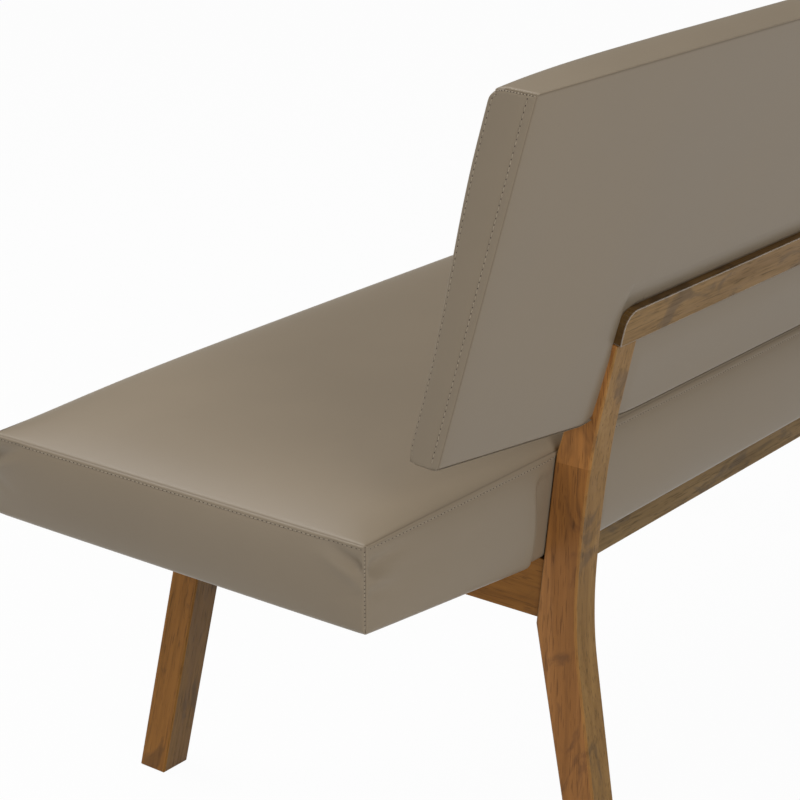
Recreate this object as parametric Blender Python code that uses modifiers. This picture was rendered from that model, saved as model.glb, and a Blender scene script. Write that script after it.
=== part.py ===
"""Dining bench with a reclined padded back: wooden frame, box seat and back pad.

Metres, +Z up, +X along the bench, the sitter faces -Y. Sizes across the bench are
given from the rear face of the seat, and an empty moves the whole model so that its
origin lies on the floor under the middle of its box.
"""
import math

import bmesh
import bpy
from mathutils import Matrix, Vector

# seat cushion
SEAT_LENGTH = 1.500
SEAT_DEPTH = 0.418
SEAM_HEIGHT = 0.470
SEAT_THICKNESS = 0.104
SEAT_CROWN = 0.024
SEAT_SIDE_SWELL = 0.006
SEAT_END_RISE = 0.025
SEAT_EDGE_RADIUS = 0.007
SEAT_SIDE_FOAM = 0.020
LEG_DENT_REACH = 0.036

# timber frame inside the seat
DECK_THICKNESS = 0.009
SEAT_FOAM_ON_DECK = 0.050
BEARER_WIDTH = 0.045
CROSS_PIECE_WIDTH = 0.040
DUST_COVER_THICKNESS = 0.001

# legs and rails
LEG_SETBACK = 0.260
REAR_LEG_THICKNESS = 0.032
REAR_FOOT_FRONT = 0.044
REAR_FOOT_DEPTH = 0.030
KNEE_HEIGHT = 0.304
KNEE_FRONT = -0.0148
KNEE_DEPTH = 0.0418
LEG_LEAN = 0.102
SHOULDER_DROP = 0.0464
SHANK_TOP_HEIGHT = 0.262
SHANK_TOP_REAR = 0.0328
WAIST_HEIGHT = 0.335
UPRIGHT_REAR_SLOPE = 0.220
UPRIGHT_START_RISE = 0.0036
UPRIGHT_TOP_RISE = 0.0723
UPRIGHT_TOP_PROUD = 0.0016
FRONT_LEG_WIDTH = 0.036
FRONT_LEG_DEPTH = 0.034
FRONT_FOOT_REACH = 0.093
FRONT_LEG_SPLAY = 0.239
RAIL_HEIGHT = 0.056
SIDE_RAIL_THICKNESS = 0.024
SIDE_RAIL_INSET = 0.002
APRON_THICKNESS = 0.022
APRON_SETBACK = 0.034
CENTRE_RAIL_WIDTH = 0.022
CENTRE_RAIL_HEIGHT = 0.040
BLOCK_LEG = 0.050
BLOCK_HEIGHT = 0.036
BLOCK_DROP = 0.010
BLOCK_NOSE = 0.008
EDGE_EASE = 0.0015

# back pad and its rail
BACK_END_INSET = 0.030
BACK_HEIGHT = 0.343
BACK_THICKNESS = 0.041
BACK_LOWER_THICKNESS = 0.030
BACK_TAPER_START = 0.050
BACK_TAPER_END = 0.275
BACK_RECLINE = math.radians(15.7)
BACK_BOTTOM_REAR = 0.0384
BACK_BOTTOM_HEIGHT = 0.5044
BACK_END_RISE = 0.031
BACK_MIDDLE_DROP = 0.011
BACK_DROP_REACH = 0.054
BACK_CROWN = 0.012
BACK_TOP_CROWN = 0.006
BACK_EDGE_RADIUS = 0.007
BACK_SEAM_RADIUS = 0.0025
BACK_BAND = 0.004
REAR_PADDING = 0.017
BACK_BOARD_THICKNESS = 0.009
FRAME_EMBED = 0.013
TOP_RAIL_HEIGHT = 0.031
TOP_RAIL_DEPTH = 0.0185
TOP_RAIL_PROUD = 0.0035
TOP_RAIL_CORNER = 0.015
TOP_RAIL_EASE = 0.002
SHOULDER_REACH = 0.024

# dowels, pins and screws
DOWEL_RADIUS = 0.004
DOWEL_IN_RAIL = 0.020
DOWEL_IN_LEG = 0.014
DOWEL_IN_SIDE_RAIL = 0.012
DOWEL_RISE = 0.015
THIN_DOWEL_RADIUS = 0.003
THIN_DOWEL_REACH = 0.014
THIN_DOWEL_SPACING = 0.016
PIN_RADIUS = 0.003
PIN_IN_UPRIGHT = 0.008
PIN_IN_BOARD = 0.006
PIN_ABOVE_PAD_BOTTOM = 0.020
PIN_BELOW_UPRIGHT_TOP = 0.019
SCREW_RADIUS = 0.002
SCREW_HEAD_RADIUS = 0.0045
SCREW_HEAD_HEIGHT = 0.003
SCREW_BITE = 0.020
SCREW_INSET = 0.017

# where the soft blocks are cut across, from their ends and from their long edges
SEAT_END_CUTS = (0.010, 0.030, 0.060, 0.110, 0.170)
BACK_END_CUTS = (0.012, 0.030, 0.060, 0.110)
EDGE_CUTS = (0.010, 0.030, 0.075)
MIDDLE_CUTS = (0.25, 0.5, 0.75)

# room between pieces that touch, and how far a cutter runs past what it cuts
GAP = 0.0003
PAST = 0.02
SHARP_ANGLE = math.radians(40)

# derived places, across the bench from the rear face of the seat
RAIL_TOP = SEAM_HEIGHT - SEAT_THICKNESS
RAIL_BOTTOM = RAIL_TOP - RAIL_HEIGHT
SEAT_BOTTOM = RAIL_TOP + GAP
HALF_SEAT = SEAT_LENGTH / 2
LEG_OUTER = HALF_SEAT - LEG_SETBACK
LEG_INNER = LEG_OUTER - REAR_LEG_THICKNESS
SIDE_RAIL_OUTER = LEG_OUTER - SIDE_RAIL_INSET
SIDE_RAIL_INNER = SIDE_RAIL_OUTER - SIDE_RAIL_THICKNESS
SIDE_RAIL_MIDDLE = (SIDE_RAIL_OUTER + SIDE_RAIL_INNER) / 2
FRONT_FOOT_FRONT = -SEAT_DEPTH - FRONT_FOOT_REACH
REAR_FOOT_REAR = REAR_FOOT_FRONT + REAR_FOOT_DEPTH
SHOULDER_START_HEIGHT = BACK_BOTTOM_HEIGHT - SHOULDER_DROP
UPRIGHT_START_HEIGHT = BACK_BOTTOM_HEIGHT + UPRIGHT_START_RISE
UPRIGHT_TOP_HEIGHT = BACK_BOTTOM_HEIGHT + UPRIGHT_TOP_RISE
UPRIGHT_TOP_REAR = (BACK_BOTTOM_REAR + UPRIGHT_TOP_RISE * math.tan(BACK_RECLINE)
                    + UPRIGHT_TOP_PROUD)
UPRIGHT_START_REAR = UPRIGHT_TOP_REAR - UPRIGHT_REAR_SLOPE * (
    UPRIGHT_TOP_HEIGHT - UPRIGHT_START_HEIGHT)
PIN_HEIGHTS = (PIN_ABOVE_PAD_BOTTOM, UPRIGHT_TOP_RISE - PIN_BELOW_UPRIGHT_TOP)
UPRIGHT_LEAN = math.atan(UPRIGHT_REAR_SLOPE)
DECK_TOP = SEAM_HEIGHT - SEAT_FOAM_ON_DECK
DECK_BOTTOM = DECK_TOP - DECK_THICKNESS
DUST_COVER_TOP = SEAT_BOTTOM + DUST_COVER_THICKNESS
WELL_HALF_LENGTH = HALF_SEAT - SEAT_SIDE_FOAM
WELL_REAR = -SEAT_SIDE_FOAM
WELL_FRONT = -SEAT_DEPTH + SEAT_SIDE_FOAM
HALF_BACK = HALF_SEAT - BACK_END_INSET
BACK_TOP_REAR = BACK_BOTTOM_REAR + BACK_HEIGHT * math.sin(BACK_RECLINE)
DEPTH_SHIFT = -(FRONT_FOOT_FRONT + BACK_TOP_REAR) / 2


def rear_leg_front(height):
    """Front edge of a rear leg between its knee and its shoulder."""
    return KNEE_FRONT + LEG_LEAN * (height - KNEE_HEIGHT)


def front_leg_rear(height):
    """Rear edge of a front leg."""
    return FRONT_FOOT_FRONT + FRONT_LEG_DEPTH + FRONT_LEG_SPLAY * height


REAR_APRON_REAR = rear_leg_front(RAIL_BOTTOM) - APRON_SETBACK
FRONT_APRON_FRONT = front_leg_rear(RAIL_BOTTOM) + APRON_SETBACK
REAR_APRON_FRONT = REAR_APRON_REAR - APRON_THICKNESS
FRONT_APRON_REAR = FRONT_APRON_FRONT + APRON_THICKNESS
DOWEL_HEIGHTS = (RAIL_BOTTOM + DOWEL_RISE, RAIL_TOP - DOWEL_RISE)
SIDES = (("left", 1), ("right", -1))


def end_rise(x, rise, start, end):
    """How far an underside has risen at x, where it slopes up from start to end."""
    return rise * max(0.0, min(1.0, (abs(x) - start) / (end - start)))


def seat_underside(x):
    """Height of the seat's underside at x: level between the legs, rising outside."""
    return SEAT_BOTTOM + end_rise(x, SEAT_END_RISE, LEG_OUTER, HALF_SEAT)


def new_collection(name):
    """Return a fresh collection linked to the scene."""
    collection = bpy.data.collections.new(name)
    bpy.context.scene.collection.children.link(collection)
    return collection


def new_material(name, colour, roughness, metallic=0.0):
    """Return a Principled material in one colour."""
    material = bpy.data.materials.new(name)
    material.use_nodes = True
    shader = material.node_tree.nodes["Principled BSDF"]
    shader.inputs["Base Color"].default_value = (*colour, 1.0)
    shader.inputs["Roughness"].default_value = roughness
    shader.inputs["Metallic"].default_value = metallic
    material.diffuse_color = (*colour, 1.0)
    return material


def frame_empty(name, parent, location, lean=0.0):
    """Add an empty that leans its children backwards about the bench's length."""
    empty = bpy.data.objects.new(name, None)
    empty.location = location
    empty.rotation_euler = (-lean, 0.0, 0.0)
    empty.parent = parent
    PARTS.objects.link(empty)
    return empty


def add_object(name, mesh, parent, material=None):
    """Link a mesh as a part, or as a hidden cutter where it has no material."""
    piece = bpy.data.objects.new(name, mesh)
    piece.parent = parent
    if material is None:
        CUTTERS.objects.link(piece)
        piece.hide_render = True
        piece.display_type = "WIRE"
    else:
        PARTS.objects.link(piece)
        mesh.materials.append(bpy.data.materials[material])
    return piece


def box(name, low, high, parent, material=None):
    """A box between two corners."""
    low, high = Vector(low), Vector(high)
    mesh = bpy.data.meshes.new(name)
    bm = bmesh.new()
    bmesh.ops.create_cube(bm, size=1.0)
    bmesh.ops.transform(bm, verts=bm.verts, matrix=Matrix.LocRotScale(
        (low + high) / 2, None, high - low))
    bm.to_mesh(mesh)
    bm.free()
    return add_object(name, mesh, parent, material)


def cylinder(name, start, end, radius, parent, material=None, sides=16):
    """A round bar from start to end."""
    start, end = Vector(start), Vector(end)
    axis = end - start
    mesh = bpy.data.meshes.new(name)
    bm = bmesh.new()
    turn = Vector((0, 0, 1)).rotation_difference(axis).to_matrix().to_4x4()
    bmesh.ops.create_cone(bm, cap_ends=True, segments=sides, radius1=radius,
                          radius2=radius, depth=axis.length,
                          matrix=Matrix.Translation((start + end) / 2) @ turn)
    bm.to_mesh(mesh)
    bm.free()
    return add_object(name, mesh, parent, material)


def outline_solid(name, nodes, low, high, plane, parent, material=None):
    """Extrude a flat outline from low to high across its plane, "YZ" or "XZ".

    A node is (a, b) for a corner, or (a, b, slope, reach) for a point where the
    outline runs smoothly along da/db = slope, with handles of that reach.
    """
    curve = bpy.data.curves.new(name, "CURVE")
    curve.dimensions = "2D"
    curve.fill_mode = "BOTH"
    curve.extrude = (high - low) / 2
    curve.resolution_u = 10
    spline = curve.splines.new("BEZIER")
    spline.bezier_points.add(len(nodes) - 1)
    spline.use_cyclic_u = True
    for point, node in zip(spline.bezier_points, nodes):
        place = Vector((node[0], node[1], 0.0))
        point.co = place
        if len(node) == 2:
            point.handle_left_type = point.handle_right_type = "VECTOR"
            continue
        along = Vector((node[2], 1.0, 0.0)).normalized() * node[3]
        point.handle_left_type = point.handle_right_type = "ALIGNED"
        point.handle_left = place - along
        point.handle_right = place + along
    guide = bpy.data.objects.new(name + "_outline", curve)
    CUTTERS.objects.link(guide)
    middle = (low + high) / 2
    if plane == "YZ":
        guide.matrix_world = Matrix(((0, 0, 1, middle), (1, 0, 0, 0), (0, 1, 0, 0), (0, 0, 0, 1)))
    else:
        guide.matrix_world = Matrix(((1, 0, 0, 0), (0, 0, -1, middle), (0, 1, 0, 0), (0, 0, 0, 1)))
    evaluated = guide.evaluated_get(bpy.context.evaluated_depsgraph_get())
    mesh = bpy.data.meshes.new_from_object(evaluated)
    mesh.name = name
    bm = bmesh.new()
    bm.from_mesh(mesh)
    bmesh.ops.transform(bm, verts=bm.verts, matrix=guide.matrix_world)
    bmesh.ops.remove_doubles(bm, verts=bm.verts, dist=0.00001)
    bmesh.ops.recalc_face_normals(bm, faces=bm.faces)
    bm.to_mesh(mesh)
    bm.free()
    bpy.data.objects.remove(guide)
    return add_object(name, mesh, parent, material)


def turned(name, profile, parent, location, material):
    """Spin a profile of (radius, height) points, top to bottom, about +Z."""
    mesh = bpy.data.meshes.new(name)
    points = [(radius, 0.0, height) for radius, height in profile]
    mesh.from_pydata(points, [(i, i + 1) for i in range(len(points) - 1)], [])
    piece = add_object(name, mesh, parent, material)
    piece.location = location
    screw = piece.modifiers.new("turn", "SCREW")
    screw.steps = screw.render_steps = 14
    screw.use_merge_vertices = True
    screw.merge_threshold = 0.00001
    screw.use_smooth_shade = False
    return piece


def ease(piece, width=EDGE_EASE, segments=1):
    """Take the sharpness off a wooden piece's outer edges, and leave inner corners sharp."""
    bm = bmesh.new()
    bm.from_mesh(piece.data)
    weights = bm.edges.layers.float.new("bevel_weight_edge")
    for edge in bm.edges:
        edge[weights] = float(edge.calc_face_angle_signed() > SHARP_ANGLE)
    bm.to_mesh(piece.data)
    bm.free()
    bevel = piece.modifiers.new("ease", "BEVEL")
    bevel.width = width
    bevel.segments = segments
    bevel.limit_method = "WEIGHT"
    return piece


def cut(piece, *cutters):
    """Cut a piece by each cutter in turn."""
    for cutter in cutters:
        boolean = piece.modifiers.new("cut_" + cutter.name, "BOOLEAN")
        boolean.operation = "DIFFERENCE"
        boolean.object = cutter
    return piece


def plug(name, start, end, radius, parent, material, holds, sides=12):
    """A dowel or pin, and its hole in each of the pieces that hold it."""
    start, end = Vector(start), Vector(end)
    clear = (end - start).normalized() * GAP
    bore = cylinder(name + "_hole", start - clear, end + clear, radius + GAP, parent, sides=sides)
    for piece in holds:
        cut(piece, bore)
    return cylinder(name, start, end, radius, parent, material, sides=sides)


def padded_block(name, size, stations, shape, radii, parent, material):
    """A soft block standing on z = 0, its vertices moved by shape(x, y, z).

    stations holds, for each axis, where the block is cut across so that its form can
    follow the shape. radii holds the radius of its upper edges and of all the others.
    """
    mesh = bpy.data.meshes.new(name)
    bm = bmesh.new()
    bmesh.ops.create_cube(bm, size=1.0)
    bmesh.ops.transform(bm, verts=bm.verts, matrix=Matrix.LocRotScale(
        (0, 0, size[2] / 2), None, size))
    for axis, places in enumerate(stations):
        for place in places:
            across = [float(axis == i) for i in range(3)]
            bmesh.ops.bisect_plane(bm, geom=bm.verts[:] + bm.edges[:] + bm.faces[:],
                                   plane_co=[place * share for share in across],
                                   plane_no=across)
    weights = bm.edges.layers.float.new("bevel_weight_edge")
    for edge in bm.edges:
        if edge.calc_face_angle() > SHARP_ANGLE:
            on_top = min(vert.co.z for vert in edge.verts) > size[2] - GAP
            edge[weights] = (radii[0] if on_top else radii[1]) / max(radii)
    for vert in bm.verts:
        vert.co = shape(*vert.co)
    bm.to_mesh(mesh)
    bm.free()
    piece = add_object(name, mesh, parent, material)
    bevel = piece.modifiers.new("round", "BEVEL")
    bevel.width = max(radii)
    bevel.segments = 2
    bevel.limit_method = "WEIGHT"
    return piece


def both_ways(*places):
    """Places on both sides of the middle."""
    return [sign * place for place in places for sign in (1, -1)]


def dome(share, power):
    """1 in the middle of a side and 0 at its ends."""
    return 1.0 - min(1.0, abs(share)) ** power


def pressed_by_leg(x, y):
    """How far, from 0 to 1, a place on the seat's block is pressed flat by a rear leg."""
    inner = LEG_INNER
    beside = max(0.0, abs(x) - LEG_OUTER, inner - abs(x)) / LEG_DENT_REACH
    return max(0.0, 1.0 - beside) ** 2 * max(0.0, y / (SEAT_DEPTH / 2)) ** 5


def seat_shape(x, y, z):
    """Crown the top, swell the sides, press them by the legs, lift the ends' underside."""
    along, across, up = x / HALF_SEAT, y / (SEAT_DEPTH / 2), z / SEAT_THICKNESS
    swell = SEAT_SIDE_SWELL * dome(2 * up - 1, 2)
    crown = SEAT_CROWN * up * dome(along, 10) * dome(across, 8)
    lift = end_rise(x, SEAT_END_RISE, LEG_OUTER, HALF_SEAT) * (1 - up)
    pressed = pressed_by_leg(x, y)
    outwards = swell * across ** 5 * dome(along, 12)
    against_leg = rear_leg_front(SEAT_BOTTOM + z) - GAP
    return (x + swell * along ** 5 * dome(across, 6),
            y + outwards * (1 - pressed) + against_leg * pressed,
            z + crown + lift)


def back_underside(x):
    """Rise of the back pad's underside at x: up outside the legs, down between them."""
    between = max(0.0, min(1.0, (LEG_OUTER - abs(x)) / BACK_DROP_REACH))
    return end_rise(x, BACK_END_RISE, LEG_OUTER, HALF_BACK) - BACK_MIDDLE_DROP * between


def back_shape(x, y, z):
    """The pad lies on its rear face: crown its front, level its top, taper it downwards."""
    along, across, up = x / HALF_BACK, y / (BACK_HEIGHT / 2), z / BACK_THICKNESS
    crown = BACK_CROWN * up * dome(along, 10) * dome(across, 6)
    lift = back_underside(x) * (1 - across) / 2
    top_crown = BACK_TOP_CROWN * up * dome(along, 10)
    drop = z * math.tan(BACK_RECLINE) - top_crown
    below_start = BACK_HEIGHT / 2 - y - BACK_TAPER_START
    way = max(0.0, min(1.0, below_start / (BACK_TAPER_END - BACK_TAPER_START)))
    thinner = (BACK_THICKNESS - BACK_LOWER_THICKNESS) * way * way * (3 - 2 * way)
    return (x, y + lift - drop * max(0.0, across), z + crown - thinner * up)


def back_outline(inset):
    """Corners of the back pad's outline, seen from behind, drawn in by inset."""
    half = HALF_BACK - inset
    lower = [(x, back_underside(x) + inset)
             for x in (half, LEG_OUTER, LEG_OUTER - BACK_DROP_REACH)]
    corners = [(half, BACK_HEIGHT - inset)] + lower
    return corners + [(-x, z) for x, z in reversed(corners)]


def level_top(piece):
    """Slope the top of a piece of the back pad, so that it lies level on the bench."""
    for vert in piece.data.vertices:
        if vert.co.z > BACK_HEIGHT / 2:
            vert.co.z += vert.co.y * math.tan(BACK_RECLINE)
    return piece


def level_piece(name, x_low, x_high, y_low, y_high, parent, material):
    """A piece of the seat's timber frame, from the dust cover up to the deck."""
    bends = [x for x in (-LEG_OUTER, LEG_OUTER) if x_low < x < x_high]
    lower = [(x, seat_underside(x) + DUST_COVER_THICKNESS + GAP) for x in [x_low, *bends, x_high]]
    top = DECK_BOTTOM - GAP
    return outline_solid(name, lower + [(x_high, top), (x_low, top)], y_low, y_high, "XZ",
                         parent, material)


def make_rear_leg(side, sign):
    """Board-cut rear leg: splayed foot, knee, shoulder for the pad, leaning upright."""
    ends = sorted((sign * LEG_OUTER, sign * LEG_INNER))
    lean = Vector((-math.cos(UPRIGHT_LEAN), math.sin(UPRIGHT_LEAN)))
    top_rear = Vector((UPRIGHT_TOP_REAR, UPRIGHT_TOP_HEIGHT))
    top_front = top_rear + lean * UPRIGHT_TOP_DEPTH
    knee_rear = KNEE_FRONT + KNEE_DEPTH
    nodes = [
        (REAR_FOOT_FRONT, 0.0),
        (REAR_FOOT_REAR, 0.0),
        (SHANK_TOP_REAR, SHANK_TOP_HEIGHT,
         (SHANK_TOP_REAR - REAR_FOOT_REAR) / SHANK_TOP_HEIGHT, 0.02),
        (knee_rear, WAIST_HEIGHT, 0.0, 0.035),
        (UPRIGHT_START_REAR, UPRIGHT_START_HEIGHT, UPRIGHT_REAR_SLOPE, 0.05),
        tuple(top_rear),
        tuple(top_front),
        back_point(-FRAME_EMBED, -GAP),
        back_point(-SHOULDER_REACH, -GAP),
        (rear_leg_front(SHOULDER_START_HEIGHT), SHOULDER_START_HEIGHT, LEG_LEAN, -0.012),
        (KNEE_FRONT, KNEE_HEIGHT),
    ]
    leg = outline_solid("rear_leg_" + side, nodes, ends[0], ends[1], "YZ", BENCH, "walnut")
    return ease(leg)


def back_point(y, z):
    """A place (y, z) in the back pad's frame, as (y, z) across the bench."""
    sine, cosine = math.sin(BACK_RECLINE), math.cos(BACK_RECLINE)
    return (BACK_BOTTOM_REAR + y * cosine + z * sine, BACK_BOTTOM_HEIGHT - y * sine + z * cosine)


def upright_top_depth():
    """Depth of an upright's top, from its rear face to the plane sunk in the pad."""
    lean = Vector((-math.cos(UPRIGHT_LEAN), math.sin(UPRIGHT_LEAN)))
    normal = Vector((math.cos(BACK_RECLINE), -math.sin(BACK_RECLINE)))
    plane = Vector(back_point(-FRAME_EMBED, 0.0))
    start = Vector((UPRIGHT_TOP_REAR, UPRIGHT_TOP_HEIGHT))
    return (plane - start).dot(normal) / lean.dot(normal)


def make_front_leg(side, sign):
    """Straight front leg, splayed forwards and cut level at both ends."""
    ends = sorted((sign * LEG_OUTER, sign * (LEG_OUTER - FRONT_LEG_WIDTH)))
    top_rear = front_leg_rear(RAIL_TOP)
    foot_rear = front_leg_rear(0.0)
    nodes = [(FRONT_FOOT_FRONT, 0.0), (foot_rear, 0.0), (top_rear, RAIL_TOP),
             (top_rear - FRONT_LEG_DEPTH, RAIL_TOP)]
    leg = outline_solid("front_leg_" + side, nodes, ends[0], ends[1], "YZ", BENCH, "walnut")
    return ease(leg)


def make_side_rail(side, sign, front_leg, rear_leg):
    """Rail under the seat's end, its ends cut to the slant of the legs."""
    ends = sorted((sign * SIDE_RAIL_OUTER, sign * SIDE_RAIL_INNER))
    nodes = [(front_leg_rear(RAIL_BOTTOM) + GAP, RAIL_BOTTOM),
             (rear_leg_front(RAIL_BOTTOM) - GAP, RAIL_BOTTOM),
             (rear_leg_front(RAIL_TOP) - GAP, RAIL_TOP),
             (front_leg_rear(RAIL_TOP) + GAP, RAIL_TOP)]
    rail = outline_solid("side_rail_" + side, nodes, ends[0], ends[1], "YZ", BENCH, "walnut")
    x = sign * SIDE_RAIL_MIDDLE
    for level, height in zip(("low", "high"), DOWEL_HEIGHTS):
        rear, front = rear_leg_front(height), front_leg_rear(height)
        plug(f"rear_dowel_{level}_{side}", (x, rear - DOWEL_IN_RAIL, height),
             (x, rear + DOWEL_IN_LEG, height), DOWEL_RADIUS, BENCH, "beech", (rail, rear_leg))
        plug(f"front_dowel_{level}_{side}", (x, front + DOWEL_IN_RAIL, height),
             (x, front - DOWEL_IN_LEG, height), DOWEL_RADIUS, BENCH, "beech", (rail, front_leg))
    return rail


def make_apron(name, y_low, y_high, side_rails):
    """Long rail between the two side rails, dowelled into them."""
    end = SIDE_RAIL_INNER - GAP
    apron = box(name, (-end, y_low, RAIL_BOTTOM), (end, y_high, RAIL_TOP), BENCH, "walnut")
    y = (y_low + y_high) / 2
    for (side, sign), rail in zip(SIDES, side_rails):
        for level, height in zip(("low", "high"), DOWEL_HEIGHTS):
            inner = sign * (SIDE_RAIL_INNER - DOWEL_IN_RAIL)
            outer = sign * (SIDE_RAIL_INNER + DOWEL_IN_SIDE_RAIL)
            plug(f"{name}_dowel_{level}_{side}", (inner, y, height), (outer, y, height),
                 DOWEL_RADIUS, BENCH, "beech", (apron, rail))
    return apron


def make_corner_block(name, sign_x, corner_y, sign_y):
    """Three-cornered block glued in a corner of the rails, with its seat screw."""
    x, y = sign_x * (SIDE_RAIL_INNER - GAP), corner_y + sign_y * GAP
    low = RAIL_TOP - BLOCK_DROP - BLOCK_HEIGHT
    mesh = bpy.data.meshes.new(name)
    bm = bmesh.new()
    corners = [(0, 0), (BLOCK_LEG, 0), (BLOCK_LEG, BLOCK_NOSE), (BLOCK_NOSE, BLOCK_LEG),
               (0, BLOCK_LEG)]
    face = bm.faces.new([bm.verts.new((x - sign_x * a, y + sign_y * b, low))
                         for a, b in corners])
    grown = bmesh.ops.extrude_face_region(bm, geom=[face])
    raised = [item for item in grown["geom"] if isinstance(item, bmesh.types.BMVert)]
    bmesh.ops.translate(bm, verts=raised, vec=(0, 0, BLOCK_HEIGHT))
    bmesh.ops.recalc_face_normals(bm, faces=bm.faces)
    bm.to_mesh(mesh)
    bm.free()
    block = add_object(name, mesh, BENCH, "beech")
    middle = (x - sign_x * SCREW_INSET, y + sign_y * SCREW_INSET)
    tip = DUST_COVER_TOP + SCREW_BITE
    bore = cylinder(name + "_screw_hole", (*middle, low - PAST), (*middle, tip + GAP),
                    SCREW_RADIUS + GAP, BENCH, sides=14)
    cut(block, bore)
    head = low - GAP
    profile = [(0, tip), (SCREW_RADIUS, tip - SCREW_RADIUS), (SCREW_RADIUS, head),
               (SCREW_HEAD_RADIUS, head), (SCREW_HEAD_RADIUS, head - SCREW_HEAD_HEIGHT / 2),
               (0, head - SCREW_HEAD_HEIGHT)]
    turned(name.replace("corner_block", "seat_screw"), profile, BENCH, (*middle, 0.0), "steel")
    return bore


def make_seat(screw_bores):
    """Timber frame, plywood deck, dust cover and the padded cover over them."""
    end, rear, front = WELL_HALF_LENGTH - GAP, WELL_REAR - GAP, WELL_FRONT + GAP
    inner_rear = rear - BEARER_WIDTH
    inner_front = front + BEARER_WIDTH
    level_piece("seat_bearer_rear", -end, end, inner_rear, rear, BENCH, "pine")
    level_piece("seat_bearer_front", -end, end, front, inner_front, BENCH, "pine")
    outer = end - CROSS_PIECE_WIDTH / 2
    above_block = SIDE_RAIL_INNER - GAP - SCREW_INSET
    places = [("left_end", outer), ("left", above_block), ("middle", 0.0),
              ("right", -above_block), ("right_end", -outer)]
    for place, x in places:
        half = CROSS_PIECE_WIDTH / 2
        piece = level_piece("seat_cross_piece_" + place, x - half, x + half,
                            inner_front + GAP, inner_rear - GAP, BENCH, "pine")
        if abs(abs(x) - above_block) < GAP:
            cut(piece, *[bore for bore in screw_bores if bore.name.count(place) > 0])
    box("seat_deck", (-end, front, DECK_BOTTOM), (end, rear, DECK_TOP), BENCH, "plywood")

    across = [-end, -LEG_OUTER, LEG_OUTER, end]
    lower = [(x, seat_underside(x)) for x in across]
    upper = [(x, z + DUST_COVER_THICKNESS) for x, z in reversed(lower)]
    cover = outline_solid("seat_dust_cover", lower + upper, front, rear, "XZ", BENCH, "dust_cloth")
    cut(cover, *screw_bores)

    beside_leg = [LEG_OUTER, LEG_OUTER + LEG_DENT_REACH / 2, LEG_OUTER + LEG_DENT_REACH,
                  LEG_INNER, LEG_INNER - LEG_DENT_REACH / 2, LEG_INNER - LEG_DENT_REACH]
    near_end = [HALF_SEAT - inset for inset in SEAT_END_CUTS]
    spread = [LEG_INNER * share for share in MIDDLE_CUTS]
    near_edge = [SEAT_DEPTH / 2 - inset for inset in EDGE_CUTS]
    stations = (both_ways(*beside_leg, *near_end, *spread), both_ways(*near_edge) + [0.0],
                [SEAT_THICKNESS * share for share in MIDDLE_CUTS])
    seat = padded_block("seat_cushion", (SEAT_LENGTH, SEAT_DEPTH, SEAT_THICKNESS), stations,
                        seat_shape, (SEAT_EDGE_RADIUS, SEAT_EDGE_RADIUS), BENCH, "leatherette")
    seat.location = (0.0, -SEAT_DEPTH / 2, SEAT_BOTTOM)
    well = box("seat_well", (-WELL_HALF_LENGTH, WELL_FRONT, SEAT_BOTTOM - PAST),
               (WELL_HALF_LENGTH, WELL_REAR, DECK_TOP + GAP), BENCH)
    cut(seat, well)
    return seat


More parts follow.
